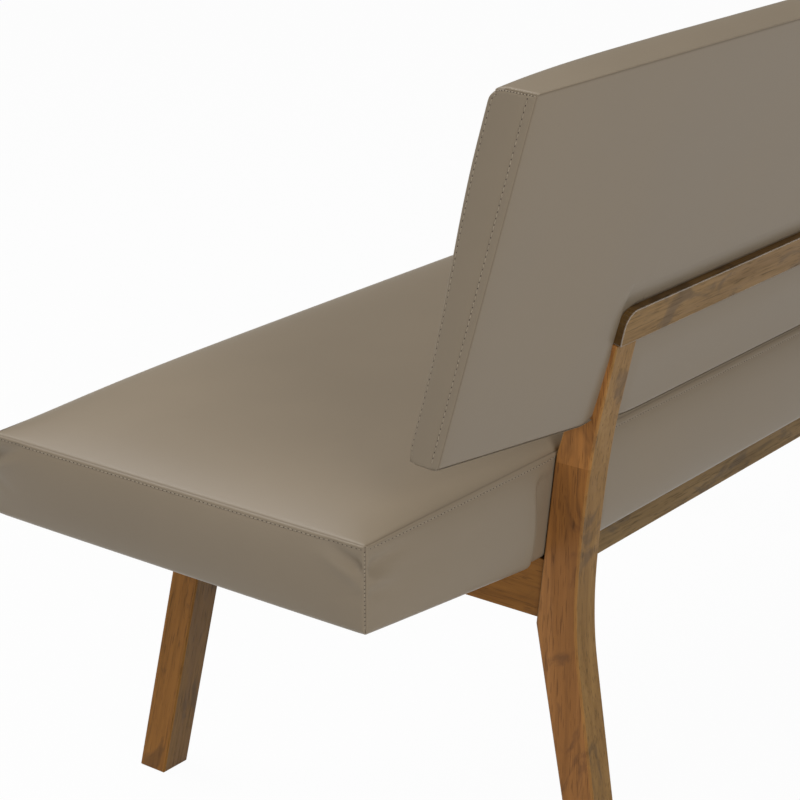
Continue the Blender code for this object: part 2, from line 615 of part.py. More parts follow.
def make_back(rear_legs):
    """Back pad with its board and rear panel, the top rail, and what joins them."""
    pad_frame = frame_empty("back_frame", BENCH, (0.0, BACK_BOTTOM_REAR, BACK_BOTTOM_HEIGHT),
                            BACK_RECLINE)
    lying = frame_empty("back_lying", pad_frame, (0.0, 0.0, BACK_HEIGHT / 2), -math.pi / 2)
    near_end = [HALF_BACK - inset for inset in BACK_END_CUTS]
    spread = [LEG_OUTER, LEG_OUTER - BACK_DROP_REACH]
    spread += [LEG_OUTER * share for share in MIDDLE_CUTS]
    near_edge = [BACK_HEIGHT / 2 - inset for inset in EDGE_CUTS]
    stations = (both_ways(*near_end, *spread), both_ways(*near_edge) + [0.0],
                [BACK_THICKNESS / 2])
    pad = padded_block("back_cushion", (2 * HALF_BACK, BACK_HEIGHT, BACK_THICKNESS), stations,
                       back_shape, (BACK_EDGE_RADIUS, BACK_SEAM_RADIUS), lying, "leatherette")
    board_rear = -REAR_PADDING
    board_front = board_rear - BACK_BOARD_THICKNESS
    well = level_top(outline_solid("back_well", back_outline(BACK_BAND), board_front - GAP,
                                   PAST, "XZ", pad_frame))
    inner = back_outline(BACK_BAND + GAP)
    board = level_top(outline_solid("back_board", inner, board_front, board_rear, "XZ",
                                    pad_frame, "plywood"))
    panel = level_top(outline_solid("back_rear_panel", inner, board_rear + GAP, 0.0, "XZ",
                                    pad_frame, "leatherette"))
    cut(pad, well)

    rail_frame = frame_empty("top_rail_frame", BENCH, (0.0, UPRIGHT_TOP_REAR, UPRIGHT_TOP_HEIGHT),
                             UPRIGHT_LEAN)
    rail_front = TOP_RAIL_PROUD - TOP_RAIL_DEPTH
    rail = outline_solid("top_rail", rail_outline(0.0), rail_front, TOP_RAIL_PROUD, "XZ",
                         rail_frame, "walnut")
    ease(rail, TOP_RAIL_EASE, 2)
    groove = outline_solid("top_rail_groove", rail_outline(GAP), rail_front - GAP, PAST, "XZ",
                           rail_frame)
    slots, notches = [], []
    for side, sign in SIDES:
        ends = sorted((sign * (LEG_OUTER + GAP), sign * (LEG_INNER - GAP)))
        slots.append(box("upright_slot_" + side, (ends[0], -FRAME_EMBED - GAP, -PAST),
                         (ends[1], PAST, UPRIGHT_SLOT_TOP), pad_frame))
        notches.append(box("shoulder_notch_" + side, (ends[0], -SHOULDER_REACH - GAP, -PAST),
                           (ends[1], PAST, 0.0), pad_frame))
    cut(pad, *slots, *notches)
    cut(panel, groove, *slots, *notches)
    cut(board, *notches)

    for (side, sign), leg in zip(SIDES, rear_legs):
        middle = sign * (LEG_OUTER + LEG_INNER) / 2
        depth = (TOP_RAIL_PROUD + rail_front) / 2 - TOP_RAIL_PROUD / 2
        for place, offset in (("outer", THIN_DOWEL_SPACING / 2), ("inner", -THIN_DOWEL_SPACING / 2)):
            x = middle + sign * offset
            plug(f"top_rail_dowel_{place}_{side}", (x, depth, -THIN_DOWEL_REACH),
                 (x, depth, THIN_DOWEL_REACH), THIN_DOWEL_RADIUS, rail_frame, "beech", (leg, rail))
        for place, height in zip(("low", "high"), PIN_HEIGHTS):
            plug(f"back_pin_{place}_{side}", (middle, board_rear - PIN_IN_BOARD, height),
                 (middle, -FRAME_EMBED + PIN_IN_UPRIGHT, height), PIN_RADIUS, pad_frame, "steel",
                 (leg, panel, board))


def rail_outline(spread):
    """Top rail from behind: level underside, rounded upper corners."""
    half, top = LEG_OUTER + spread, GAP + TOP_RAIL_HEIGHT + spread
    nodes = [(half, GAP - spread)]
    for step in range(7):
        turn = math.pi / 2 * step / 6
        nodes.append((half - TOP_RAIL_CORNER * (1 - math.cos(turn)),
                      top - TOP_RAIL_CORNER * (1 - math.sin(turn))))
    return nodes + [(-x, z) for x, z in reversed(nodes)]


UPRIGHT_TOP_DEPTH = upright_top_depth()
UPRIGHT_SLOT_TOP = (UPRIGHT_TOP_RISE + TOP_RAIL_HEIGHT / 2) / math.cos(BACK_RECLINE)

for old in list(bpy.data.objects):
    bpy.data.objects.remove(old)
PARTS = new_collection("dining_bench")
CUTTERS = new_collection("cutters")
CUTTERS.hide_render = True
new_material("walnut", (0.205, 0.085, 0.028), 0.35)
new_material("beech", (0.55, 0.36, 0.20), 0.6)
new_material("pine", (0.60, 0.43, 0.24), 0.7)
new_material("plywood", (0.52, 0.36, 0.20), 0.7)
new_material("leatherette", (0.235, 0.195, 0.150), 0.45)
new_material("dust_cloth", (0.02, 0.02, 0.02), 0.95)
new_material("steel", (0.60, 0.60, 0.60), 0.35, 1.0)

BENCH = bpy.data.objects.new("bench", None)
BENCH.location = (0.0, DEPTH_SHIFT, 0.0)
PARTS.objects.link(BENCH)
REAR_LEGS = [make_rear_leg(*side) for side in SIDES]
FRONT_LEGS = [make_front_leg(*side) for side in SIDES]
SIDE_RAILS = [make_side_rail(*side, front, rear)
              for side, front, rear in zip(SIDES, FRONT_LEGS, REAR_LEGS)]
APRONS = [make_apron("front_apron", FRONT_APRON_FRONT, FRONT_APRON_REAR, SIDE_RAILS),
          make_apron("rear_apron", REAR_APRON_FRONT, REAR_APRON_REAR, SIDE_RAILS)]
CENTRE_RAIL = box("centre_rail",
                  (-CENTRE_RAIL_WIDTH / 2, FRONT_APRON_REAR + GAP, RAIL_TOP - CENTRE_RAIL_HEIGHT),
                  (CENTRE_RAIL_WIDTH / 2, REAR_APRON_FRONT - GAP, RAIL_TOP), BENCH, "walnut")
SCREW_BORES = []
for SIDE, SIGN in SIDES:
    SCREW_BORES.append(make_corner_block("corner_block_front_" + SIDE, SIGN, FRONT_APRON_REAR, 1))
    SCREW_BORES.append(make_corner_block("corner_block_rear_" + SIDE, SIGN, REAR_APRON_FRONT, -1))
make_seat(SCREW_BORES)
make_back(REAR_LEGS)
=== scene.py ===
"""Dining bench with a padded back: its covers, seams, wood finish, floor, light and camera.

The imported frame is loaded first. Sizes are in metres, +Z up, +X along the bench, and the
sitter faces -Y. A soft block is shaped in its own coordinates, with its origin in the
middle of its lower face, and is then put where its solid lies.
"""
import math

import bpy
import numpy as np
from bpy.props import FloatProperty, FloatVectorProperty, PointerProperty
from mathutils import Matrix, Vector


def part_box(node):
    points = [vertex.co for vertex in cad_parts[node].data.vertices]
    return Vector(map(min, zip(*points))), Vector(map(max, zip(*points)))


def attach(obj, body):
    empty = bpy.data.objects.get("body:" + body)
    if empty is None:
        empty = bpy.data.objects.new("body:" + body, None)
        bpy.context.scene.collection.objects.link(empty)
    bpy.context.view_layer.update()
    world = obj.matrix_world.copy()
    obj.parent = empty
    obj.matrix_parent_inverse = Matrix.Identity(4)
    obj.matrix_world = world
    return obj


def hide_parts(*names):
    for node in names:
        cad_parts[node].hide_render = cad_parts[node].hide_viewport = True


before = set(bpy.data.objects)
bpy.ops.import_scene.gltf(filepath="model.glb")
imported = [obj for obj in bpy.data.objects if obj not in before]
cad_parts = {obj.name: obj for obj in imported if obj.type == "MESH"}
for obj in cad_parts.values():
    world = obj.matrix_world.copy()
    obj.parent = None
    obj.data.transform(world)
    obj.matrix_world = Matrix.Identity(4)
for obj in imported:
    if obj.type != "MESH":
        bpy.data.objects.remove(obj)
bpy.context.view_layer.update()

bl_info = {
    "name": "Dining bench",
    "version": (1, 0, 0),
    "blender": (4, 5, 0),
    "location": "3D View > Sidebar > Bench",
    "description": "Covers, seams, wood finish and studio of a padded dining bench",
    "category": "Object",
}

UPRIGHT_SIDES = ("x+", "x-", "y+", "y-")
# how far the grid's first planes lie from an edge
EDGE_STEPS = (0.0008, 0.0016, 0.0026, 0.004)

# the seat's block, found from its solid by taking off the swell of the solid's sides
SEAT_LOW, SEAT_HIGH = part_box("seat_cushion")
SEAT_SWELL = 0.006
HALF_SEAT = SEAT_HIGH.x - SEAT_SWELL
SEAT_REAR = SEAT_HIGH.y - SEAT_SWELL
SEAT_DEPTH = SEAT_REAR - SEAT_LOW.y - SEAT_SWELL
SEAT_BOTTOM = SEAT_LOW.z
SEAT_THICKNESS = 0.104
SEAT_END_RISE = 0.025
SEAT_SIDE_FOAM = 0.020
SEAT_ORIGIN = np.array([0.0, SEAT_REAR - SEAT_DEPTH / 2, SEAT_BOTTOM])
SIDE_BULGE = 0.0085
DECK_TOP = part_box("seat_deck")[1].z
GAP = 0.0003

# the rear legs, where they press the seat
LEG_LOW, LEG_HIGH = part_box("rear_leg_left")
LEG_OUTER, LEG_INNER = LEG_HIGH.x, LEG_LOW.x
LEG_KNEE = (SEAT_REAR - 0.0148, 0.304)
LEG_LEAN = 0.102
DENT_REACH = 0.036
DENT_CORNER = 0.018
DENT_BELOW_SEAM = 0.030
DENT_SOFTNESS = 0.008

# the back pad's block and the frame that it lies in
HALF_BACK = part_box("back_cushion")[1].x
BACK_HEIGHT = 0.343
BACK_THICKNESS = 0.041
BACK_RECLINE = math.radians(15.7)
BACK_BOTTOM = Vector((0.0, SEAT_REAR + 0.0384, 0.5044))
BACK_END_RISE = 0.031
BACK_MIDDLE_DROP = 0.0095
BACK_OUTER_DROP = 0.003
BACK_DROP_REACH = 0.034
BACK_SAG = 0.18
BACK_STEP_REACH, BACK_SAG_REACH, LEG_CLEAR = 0.012, 0.02, 0.001
BACK_LOWER_THICKNESS = 0.030
BACK_TAPER = (0.050, 0.275)
CURL_HEIGHT, CURL_END, CURL_FADE = 0.036, LEG_INNER - 0.004, 0.03
SHOULDER_REACH = 0.024
PANEL_DEPTH = 0.017
BOARD_DEPTH = 0.0265
PANEL_RIM = 0.0008
UP_PAD = Vector((0.0, math.sin(BACK_RECLINE), math.cos(BACK_RECLINE)))
OUT_OF_PAD = Vector((0.0, -math.cos(BACK_RECLINE), math.sin(BACK_RECLINE)))
BACK_MIDDLE = BACK_BOTTOM + UP_PAD * (BACK_HEIGHT / 2)
BACK_PLACE = Matrix((Vector((1, 0, 0)), UP_PAD, OUT_OF_PAD)).transposed().to_4x4()
BACK_PLACE.translation = BACK_MIDDLE
PANEL_PLACE = Matrix((Vector((-1, 0, 0)), UP_PAD, -OUT_OF_PAD)).transposed().to_4x4()
PANEL_PLACE.translation = BACK_MIDDLE + OUT_OF_PAD * PANEL_DEPTH


def main():
    """Register the classes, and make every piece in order."""
    register()
    bpy.ops.bench.finish_wood()
    bpy.ops.bench.finish_inside()
    bpy.ops.bench.cover_seat()
    bpy.ops.bench.cover_back()
    bpy.ops.bench.cover_rear_panel()
    bpy.ops.bench.sew_seat()
    bpy.ops.bench.sew_back()
    bpy.ops.bench.set_stage()


class Signal:
    """An output socket of a finish; arithmetic on it adds Math nodes."""

    def __init__(self, finish, socket):
        self.finish = finish
        self.socket = socket

    def math(self, operation, *values):
        return self.finish.node("Math", {"operation": operation}, enumerate(values))

    def __add__(self, other):
        return self.math("ADD", self, other)

    def __sub__(self, other):
        return self.math("SUBTRACT", self, other)

    def __rsub__(self, other):
        return self.math("SUBTRACT", other, self)

    def __mul__(self, other):
        return self.math("MULTIPLY", self, other)

    def __gt__(self, other):
        return self.math("GREATER_THAN", self, other)

    __radd__ = __add__
    __rmul__ = __mul__

    def ramp(self, low, high, start=0.0, end=1.0):
        """Run smoothly from start at low to end at high."""
        return self.finish.node("MapRange", {"interpolation_type": "SMOOTHSTEP"},
                                {"Value": self, "From Min": low, "From Max": high,
                                 "To Min": start, "To Max": end})


class Finish:
    """A material made of nodes, built up by method calls."""

    def __init__(self, name):
        self.material = bpy.data.materials.new(name)
        self.material.use_nodes = True
        self.tree = self.material.node_tree
        self.shader = self.tree.nodes["Principled BSDF"]

    def node(self, kind, settings=(), values=(), output=0):
        """Add a node, set it up, fill its sockets with values or links, give an output."""
        node = self.tree.nodes.new("ShaderNode" + kind)
        for name, value in dict(settings).items():
            if name == "stops":
                self.set_stops(node.color_ramp, value)
            else:
                setattr(node, name, value)
        for key, value in dict(values).items():
            self.feed(node.inputs[key], value)
        return Signal(self, node.outputs[output])

    def feed(self, socket, value):
        """Link a signal to a socket, or write a plain value on it."""
        if isinstance(value, Signal):
            self.tree.links.new(value.socket, socket)
        else:
            socket.default_value = value

    @staticmethod
    def set_stops(ramp, stops):
        """Give a colour ramp its stops of (place, linear colour)."""
        ramp.elements[0].position, ramp.elements[0].color = stops[0][0], (*stops[0][1], 1.0)
        ramp.elements[1].position, ramp.elements[1].color = stops[-1][0], (*stops[-1][1], 1.0)
        for place, colour in stops[1:-1]:
            ramp.elements.new(place).color = (*colour, 1.0)

    def place(self, move=(0, 0, 0), turn=(0, 0, 0), scale=(1, 1, 1)):
        """Object coordinates, moved, turned and stretched."""
        return self.node("Mapping", {}, {"Vector": self.node("TexCoord", output="Object"),
                                         "Location": move, "Rotation": turn, "Scale": scale})

    def noise(self, where, scale, detail=3.0, rough=0.5, distortion=0.0):
        return self.node("TexNoise", {}, {"Vector": where, "Scale": scale, "Detail": detail,
                                          "Roughness": rough, "Distortion": distortion})

    def attribute(self, name):
        return self.node("Attribute", {"attribute_name": name}, output="Fac")

    def mix(self, factor, first, second, blend="MIX"):
        """Mix two colours."""
        pair = {0: factor, 6: first, 7: second}
        for key in (6, 7):
            if not isinstance(pair[key], Signal):
                pair[key] = (*pair[key][:3], 1.0)
        return self.node("Mix", {"data_type": "RGBA", "blend_type": blend}, pair, 2)

    def bump(self, height, distance, strength=1.0, under=None):
        """Turn a height, given in parts of distance, into a normal."""
        values = {"Height": height, "Distance": distance, "Strength": strength}
        if under is not None:
            values["Normal"] = under
        return self.node("Bump", {}, values)

    def surface(self, **values):
        """Feed the shader's sockets, whose names have their spaces as underscores."""
        for name, value in values.items():
            self.feed(self.shader.inputs[name.replace("_", " ")], value)
        return self.material


def linear(colour, share=1.0):
    """A colour picked on screen, as linear light, made darker or lighter by a share."""
    return tuple(min(1.0, share * ((c + 0.055) / 1.055) ** 2.4) for c in colour)


def leatherette(name, colours, share=1.0):
    """Smooth coated cloth: faint cloudiness, fine grain, painted shade in its seams, and painted
    shade over all of it where share is below 1.
    """
    finish = Finish(name)
    where = finish.place()
    clouds = finish.noise(where, 3.1, 4.0, 0.55)
    cells = finish.node("TexVoronoi", {"feature": "SMOOTH_F1"},
                        {"Vector": where, "Scale": 620.0, "Smoothness": 0.6})
    fine = finish.noise(where, 1900.0, 2.0)
    seam = finish.attribute("seam")
    tone = finish.mix(clouds.ramp(0.30, 0.70), linear(colours.leather, 0.955 * share),
                      linear(colours.leather, 1.045 * share))
    # painted shade deep in the seams, where the seam mask is high
    tone = finish.mix(seam * 0.45, tone, linear(colours.seam))
    grain = cells * 0.75 + fine * 0.35
    normal = finish.bump(grain, 0.00009, 0.5)
    rough = clouds.ramp(0.25, 0.75, 0.43, 0.50) + seam * 0.25
    return finish.surface(Base_Color=tone, Roughness=rough, Normal=normal,
                          Specular_IOR_Level=0.36)


def thread(name, colour):
    """Twisted sewing thread."""
    finish = Finish(name)
    where = finish.place()
    twist = finish.noise(where, 900.0, 2.0)
    tone = finish.mix(twist.ramp(0.3, 0.7), linear(colour, 0.86), linear(colour, 1.12))
    return finish.surface(Base_Color=tone, Roughness=0.62, Normal=finish.bump(twist, 0.0001, 0.6))


def walnut(name, colours, turn, seed, joint=None, tint=(1, 1, 1), side=(1, 1, 1),
           edge_highlight=(0.76, 0.54, 0.28)):
    """Walnut-stained board, its grain along local Z after turn.

    joint is the height of a glued step. tint shifts the board's colour and side the colour of
    its faces that don't look along Y; besides the wood's tone, the two tints paint the
    difference in light and shade between its sides and its faces along Y. The last colour is a
    highlight painted along its rounded edges.
    """
    finish = Finish(name)
    where = finish.place((seed, 0.37 * seed, 0.71 * seed), turn)
    if joint is not None:
        height = finish.node("SeparateXYZ", {}, {"Vector": finish.place()}, 2)
        upper = height > joint
        where = finish.node("VectorMath", {"operation": "ADD"}, {
            0: where, 1: finish.node("CombineXYZ", {}, {0: upper * 0.43, 1: upper * 0.21})})

    def stretched(share):
        return finish.node("VectorMath", {"operation": "MULTIPLY"}, {0: where, 1: (1, 1, share)})

    figure = finish.noise(stretched(0.09), 30.0, 4.0, 0.55, 0.9)
    streaks = finish.noise(stretched(0.035), 260.0, 3.0, 0.6, 0.3)
    patches = finish.noise(stretched(0.50), 26.0, 4.0, 0.6, 1.2)
    pores = finish.noise(stretched(0.055), 950.0, 1.0, 0.4).ramp(0.59, 0.70)
    dark = linear(colours.wood_dark)
    wood = finish.mix(figure.ramp(0.32, 0.68), linear(colours.wood, 0.93),
                      linear(colours.wood_light, 0.92))
    wood = finish.mix(streaks.ramp(0.40, 0.72, 0.0, 0.30), wood, dark)
    wood = finish.mix(patches.ramp(0.54, 0.68, 0.0, 0.58), wood, dark)
    wood = finish.mix(pores * 0.42, wood, linear(colours.wood_dark, 0.35))
    # the board's tint, then the sides' tint: the wood's tone together with painted light and shade
    # that differ between the sides and the faces along Y
    wood = finish.mix(1.0, wood, tint, "MULTIPLY")
    rearwards = finish.node("SeparateXYZ", {}, {
        "Vector": finish.node("TexCoord", output="Normal")}, "Y")
    board = finish.node("Math", {"operation": "ABSOLUTE"}, {0: rearwards}).ramp(0.5, 0.9, 1.0, 0.0)
    wood = finish.mix(board, wood, finish.mix(1.0, wood, side, "MULTIPLY"))
    # above the joint the sides are painted lighter: partly the glued board's own tone, partly
    # painted light where the pad and seat shade the leg
    if joint is not None:
        wood = finish.mix(upper * board * 0.20, wood, (1.35, 1.38, 1.35), "MULTIPLY")
    rounded = finish.node("Bevel", {"samples": 4}, {"Radius": 0.0016})
    # painted highlight along the rounded edges: where the bevel's normal turns from the face's,
    # the colour goes over to the edge highlight colour
    turned = finish.node("VectorMath", {"operation": "DOT_PRODUCT"}, {
        0: rounded, 1: finish.node("NewGeometry", output="Normal")}, "Value")
    wood = finish.mix(turned.ramp(0.90, 0.995, 0.6, 0.0), wood, linear(edge_highlight))
    rough = streaks.ramp(0.3, 0.7, 0.38, 0.50) + pores * 0.1
    normal = finish.bump(1.0 - pores * 0.8 - streaks * 0.2, 0.00012, 0.55, rounded)
    return finish.surface(Base_Color=wood, Roughness=rough, Normal=normal, Coat_Weight=0.03,
                          Coat_Roughness=0.3, Specular_IOR_Level=0.15)


def plain_wood(name, colour, turn=(0, 0, 0)):
    """Unfinished softwood or ply, grain along local Z after turn."""
    finish = Finish(name)
    where = finish.place((0, 0, 0), turn, (1, 1, 0.05))
    figure = finish.noise(where, 60.0, 4.0, 0.6, 0.6)
    fibres = finish.noise(where, 500.0, 2.0)
    tone = finish.mix(figure.ramp(0.35, 0.65), linear(colour, 0.78), linear(colour, 1.06))
    return finish.surface(Base_Color=tone, Roughness=fibres.ramp(0.2, 0.8, 0.6, 0.8),
                          Normal=finish.bump(fibres, 0.0002, 0.5))


def dust_cloth(name, colour):
    """Thin black non-woven cloth with small pressed dots."""
    finish = Finish(name)
    where = finish.place()
    dots = finish.node("TexVoronoi", {}, {"Vector": where, "Scale": 420.0})
    fuzz = finish.noise(where, 900.0, 3.0)
    tone = finish.mix(fuzz.ramp(0.3, 0.7), linear(colour, 0.7), linear(colour, 1.4))
    return finish.surface(Base_Color=tone, Roughness=0.95,
                          Normal=finish.bump(dots + fuzz * 0.5, 0.0003, 0.6))


def steel(name, colour):
    """Zinc-plated steel."""
    finish = Finish(name)
    brushed = finish.noise(finish.place(scale=(1, 1, 0.2)), 700.0, 2.0)
    return finish.surface(Base_Color=(*linear(colour), 1.0), Metallic=1.0,
                          Roughness=brushed.ramp(0.3, 0.7, 0.28, 0.42))


def select(obj):
    """Make one object the only selected and the active one."""
    bpy.ops.object.select_all(action="DESELECT")
    obj.select_set(True)
    bpy.context.view_layer.objects.active = obj


def both_ways(*places):
    """Places on both sides of the middle."""
    return [*places, *[-place for place in places]]


def beside_legs(*steps):
    """Places at steps off both faces of each rear leg."""
    return both_ways(*[LEG_OUTER + step for step in steps],
                     *[LEG_INNER - step for step in steps])


def add_box(name, low, high):
    """Add a box between two corners, its place in its mesh."""
    low, high = Vector(low), Vector(high)
    bpy.ops.object.select_all(action="DESELECT")
    bpy.ops.mesh.primitive_cube_add(size=1.0, location=(low + high) / 2, scale=high - low)
    piece = bpy.context.active_object
    piece.name = piece.data.name = name
    bpy.ops.object.transform_apply()
    return piece


def cut_across(piece, stations):
    """Bisect a piece by planes at places along X, Y and Z."""
    select(piece)
    bpy.ops.object.mode_set(mode="EDIT")
    for axis, places in enumerate(stations):
        normal = [float(axis == i) for i in range(3)]
        for place in places:
            bpy.ops.mesh.select_all(action="SELECT")
            bpy.ops.mesh.bisect(plane_co=[place * share for share in normal], plane_no=normal)
    bpy.ops.object.mode_set(mode="OBJECT")


def graded(half, spacing, near=(*EDGE_STEPS, 0.0055, 0.0068, 0.0085, 0.011, 0.0145, 0.019,
                                0.024, 0.030, 0.038)):
    """Places from -half to half: close together at both ends, evenly spread between."""
    inner = half - near[-1] - spacing
    count = max(1, round(2 * inner / spacing))
    middle = [-inner + 2 * inner * i / count for i in range(count + 1)]
    ends = [half - step for step in near]
    return sorted([*middle, *ends, *[-place for place in ends]])


def points_of(piece):
    """A piece's vertices as an array."""
    points = np.empty(len(piece.data.vertices) * 3)
    piece.data.vertices.foreach_get("co", points)
    return points.reshape(-1, 3)


def move_points(piece, points):
    """Write an array of places back to a piece's vertices."""
    piece.data.vertices.foreach_set("co", points.ravel())
    piece.data.update()


def paint(piece, name, values):
    """Keep a number for each vertex, which a finish reads."""
    layer = piece.data.attributes.new(name, "FLOAT", "POINT")
    layer.data.foreach_set("value", values.astype(np.float32))


def hollow(piece, inside, roof):
    """Push the lower faces whose middles are inside a region up to roof, as a well."""
    select(piece)
    mesh = piece.data
    for face in mesh.polygons:
        face.select = face.normal.z < -0.9 and inside(face.center)
    for edge in mesh.edges:
        edge.select = False
    for vert in mesh.vertices:
        vert.select = False
    bpy.ops.object.mode_set(mode="EDIT")
    bpy.ops.mesh.select_mode(type="FACE")
    bpy.ops.mesh.extrude_region_move()
    bpy.ops.mesh.select_mode(type="VERT")
    bpy.ops.object.mode_set(mode="OBJECT")
    for vert in mesh.vertices:
        if vert.select:
            vert.co.z = roof


def finish_mesh(piece, material, angle=40):
    """Smooth a piece's shading and give it its material."""
    select(piece)
    bpy.ops.object.shade_smooth_by_angle(angle=math.radians(angle))
    piece.data.materials.clear()
    piece.data.materials.append(material)


def cut_away(piece, *cutters):
    """Cut a piece by each cutter in turn, and remove the cutters."""
    for cutter in cutters:
        select(piece)
        boolean = piece.modifiers.new("cut", "BOOLEAN")
        boolean.operation = "DIFFERENCE"
        boolean.solver = "EXACT"
        boolean.object = cutter
        bpy.ops.object.modifier_apply(modifier=boolean.name)
        bpy.data.objects.remove(cutter)


def dome(share, power):
    """1 in the middle of a side and 0 at its ends."""
    return 1.0 - np.minimum(1.0, np.abs(share)) ** power


def bell(distance, width):
    """1 at no distance, falling to nothing over about twice the width."""
    return np.exp(-(distance / width) ** 2)


def eased(share):
    """Run smoothly from 0 to 1 as a share does."""
    share = np.clip(share, 0, 1)
    return share * share * (3 - 2 * share)


def end_rise(x, rise, start, end):
    """How far an underside has risen at x, where it slopes up from start to end."""
    return rise * np.clip((np.abs(x) - start) / (end - start), 0.0, 1.0)


class Block:
    """A soft block's points before they are shaped, and how they lie to its edges.

    The points are (x, y, z) with z from 0 to the thickness. A side is named by its axis
    and direction, such as "x+". seam is 1 deep in a sewn edge and 0 away from it.
    """

    def __init__(self, points, half_x, half_y, thickness):
        self.points = points
        self.half = np.array([half_x, half_y, thickness / 2])
        self.middle = np.array([0.0, 0.0, thickness / 2])
        self.offset = np.zeros_like(points)
        self.seam = np.zeros(len(points))

    def inset(self, side):
        """Each point's distance from the plane of a side."""
        axis, sign = "xyz".index(side[0]), 1 if side[1] == "+" else -1
        return self.half[axis] - sign * (self.points[:, axis] - self.middle[axis])

    def from_edge(self, *sides):
        """Each point's distance from the nearest of some sides."""
        return np.minimum.reduce([self.inset(side) for side in sides])

    def outwards(self, side):
        """The unit vector that points out of a side."""
        vector = np.zeros(3)
        vector["xyz".index(side[0])] = 1 if side[1] == "+" else -1
        return vector

    def on(self, side):
        """Which points lie on a side."""
        return self.inset(side) < 1e-6

    def round_edge(self, first, second, radius, seam_depth=0.0, seam_width=0.0013):
        """Round the edge of two sides, and draw a seam into it where it has a depth."""
        for here, there in ((first, second), (second, first)):
            away = self.inset(there)
            near = self.on(here) & (away < radius) & (away >= 1e-6)
            turn = math.pi / 4 * (1 - away[near] / radius)
            self.offset[near] -= np.outer(radius * (1 - np.cos(turn)), self.outwards(here))
            shift = radius * (1 - np.sin(turn)) - away[near]
            self.offset[near] -= np.outer(shift, self.outwards(there))
        edge = self.on(first) & self.on(second)
        self.offset[edge] -= radius * (1 - math.sqrt(0.5)) * (
            self.outwards(first) + self.outwards(second))
        if seam_depth > 0:
            away = np.where(self.on(first), self.inset(second), self.inset(first))
            close = (self.on(first) | self.on(second)) & (away < 4 * seam_width)
            depth = seam_depth * bell(away, seam_width) * close
            self.offset -= np.outer(depth * math.sqrt(0.5),
                                    self.outwards(first) + self.outwards(second))
            self.seam = np.maximum(self.seam, bell(away, 0.6 * seam_width) * close)

    def round_profile(self, first, second, reach_first, reach_second):
        """Bend all that lies near the edge of two sides round an arc, along both reaches."""
        away = []
        for side, reach in ((first, reach_first), (second, reach_second)):
            gone = self.offset @ self.outwards(side)
            away.append(np.clip(1 - (self.inset(side) - gone) / reach, 0, None))
        shrink = np.maximum(*away) / np.maximum(np.hypot(*away), 1e-9) - 1
        near = (away[0] > 0) & (away[1] > 0)
        for side, reach, share in ((first, reach_first, away[0]), (second, reach_second, away[1])):
            self.offset += np.outer(near * reach * share * shrink, self.outwards(side))

    def relief(self, side, height):
        """Raise a side's points by a height, or lower them where it is negative."""
        self.offset += np.outer(height * self.on(side), self.outwards(side))

    def result(self):
        """The points with all offsets added."""
        return self.points + self.offset


def fold(across, down, start, end, width, depth):
    """A soft valley on a side, from start to end, each as (across, down)."""
    start, end = np.array(start), np.array(end)
    span = end - start
    length = np.linalg.norm(span)
    along = ((across - start[0]) * span[0] + (down - start[1]) * span[1]) / length
    off = ((across - start[0]) * span[1] - (down - start[1]) * span[0]) / length
    reach = np.maximum(0.0, np.maximum(-along, along - length))
    taper = 0.35 + 0.65 * np.clip(along / length, 0, 1)
    return -depth * bell(off, width) * bell(reach, width * 1.4) * taper


def off_legs(x):
    """Distance along the bench from the nearer rear leg, 0 where one stands."""
    return np.maximum(0.0, np.maximum(np.abs(x) - LEG_OUTER, LEG_INNER - np.abs(x)))


def rear_leg_front(height):
    """Front edge of a rear leg, where the seat touches it."""
    return LEG_KNEE[0] + LEG_LEAN * (height - LEG_KNEE[1])


def seat_form(points, sizes):
    """Crown the top, swell the sides, press them by the legs, lift the ends' underside."""
    x, y, z = points.T
    along, across = x / HALF_SEAT, y / (SEAT_DEPTH / 2)
    up = z / SEAT_THICKNESS
    swell = SIDE_BULGE * dome(2 * np.clip(up, 0, 1) - 1, 2.4)
    crown = up * dome(across, 8) * (sizes.seat_crown * dome(along, 10)
                                    + sizes.seat_belly * dome(along, 2))
    lift = end_rise(x, SEAT_END_RISE, LEG_OUTER, HALF_SEAT) * (1 - up)
    beside = off_legs(x)
    behind = np.maximum(0.0, across)
    corner = np.hypot(np.maximum(0.0, beside - DENT_REACH + DENT_CORNER),
                      np.maximum(0.0, z - SEAT_THICKNESS + DENT_BELOW_SEAM))
    strip = eased((DENT_CORNER - corner) / DENT_SOFTNESS)
    touch = np.maximum(0.0, 1.0 - beside / DENT_REACH) ** 2
    pressed = np.maximum(touch, 0.75 * strip + 0.25 * touch) * behind ** 5
    outwards = swell * across ** 5 * dome(along, 12)
    to_leg = rear_leg_front(SEAT_BOTTOM + z) - SEAT_REAR - 2 * GAP
    bow = -sizes.seat_bow * up * dome(along, 4) * np.maximum(0.0, -across) ** 3
    return np.stack([x + swell * along ** 5 * dome(across, 6),
                     y + outwards * (1 - pressed) + to_leg * pressed + bow,
                     z + crown + lift], axis=1)


# creases at the seat's corners, on its ends and its long sides: where each starts and ends,
# as (from the corner, below the seam), its width and its depth, which is negative for a ridge
SEAT_FOLDS = {
    "x": (((0.030, 0.012), (0.004, 0.027), 0.0062, 0.0044),
          ((0.036, 0.024), (0.006, 0.040), 0.0065, -0.0022),
          ((0.024, 0.062), (0.003, 0.054), 0.0060, 0.0012)),
    "y": (((0.036, 0.020), (0.004, 0.027), 0.0066, 0.0042),
          ((0.028, 0.043), (0.004, 0.042), 0.0060, -0.0030),
          ((0.030, 0.060), (0.004, 0.054), 0.0060, 0.0018)),
}
FOLD_START, FOLD_REACH = 0.010, 0.08


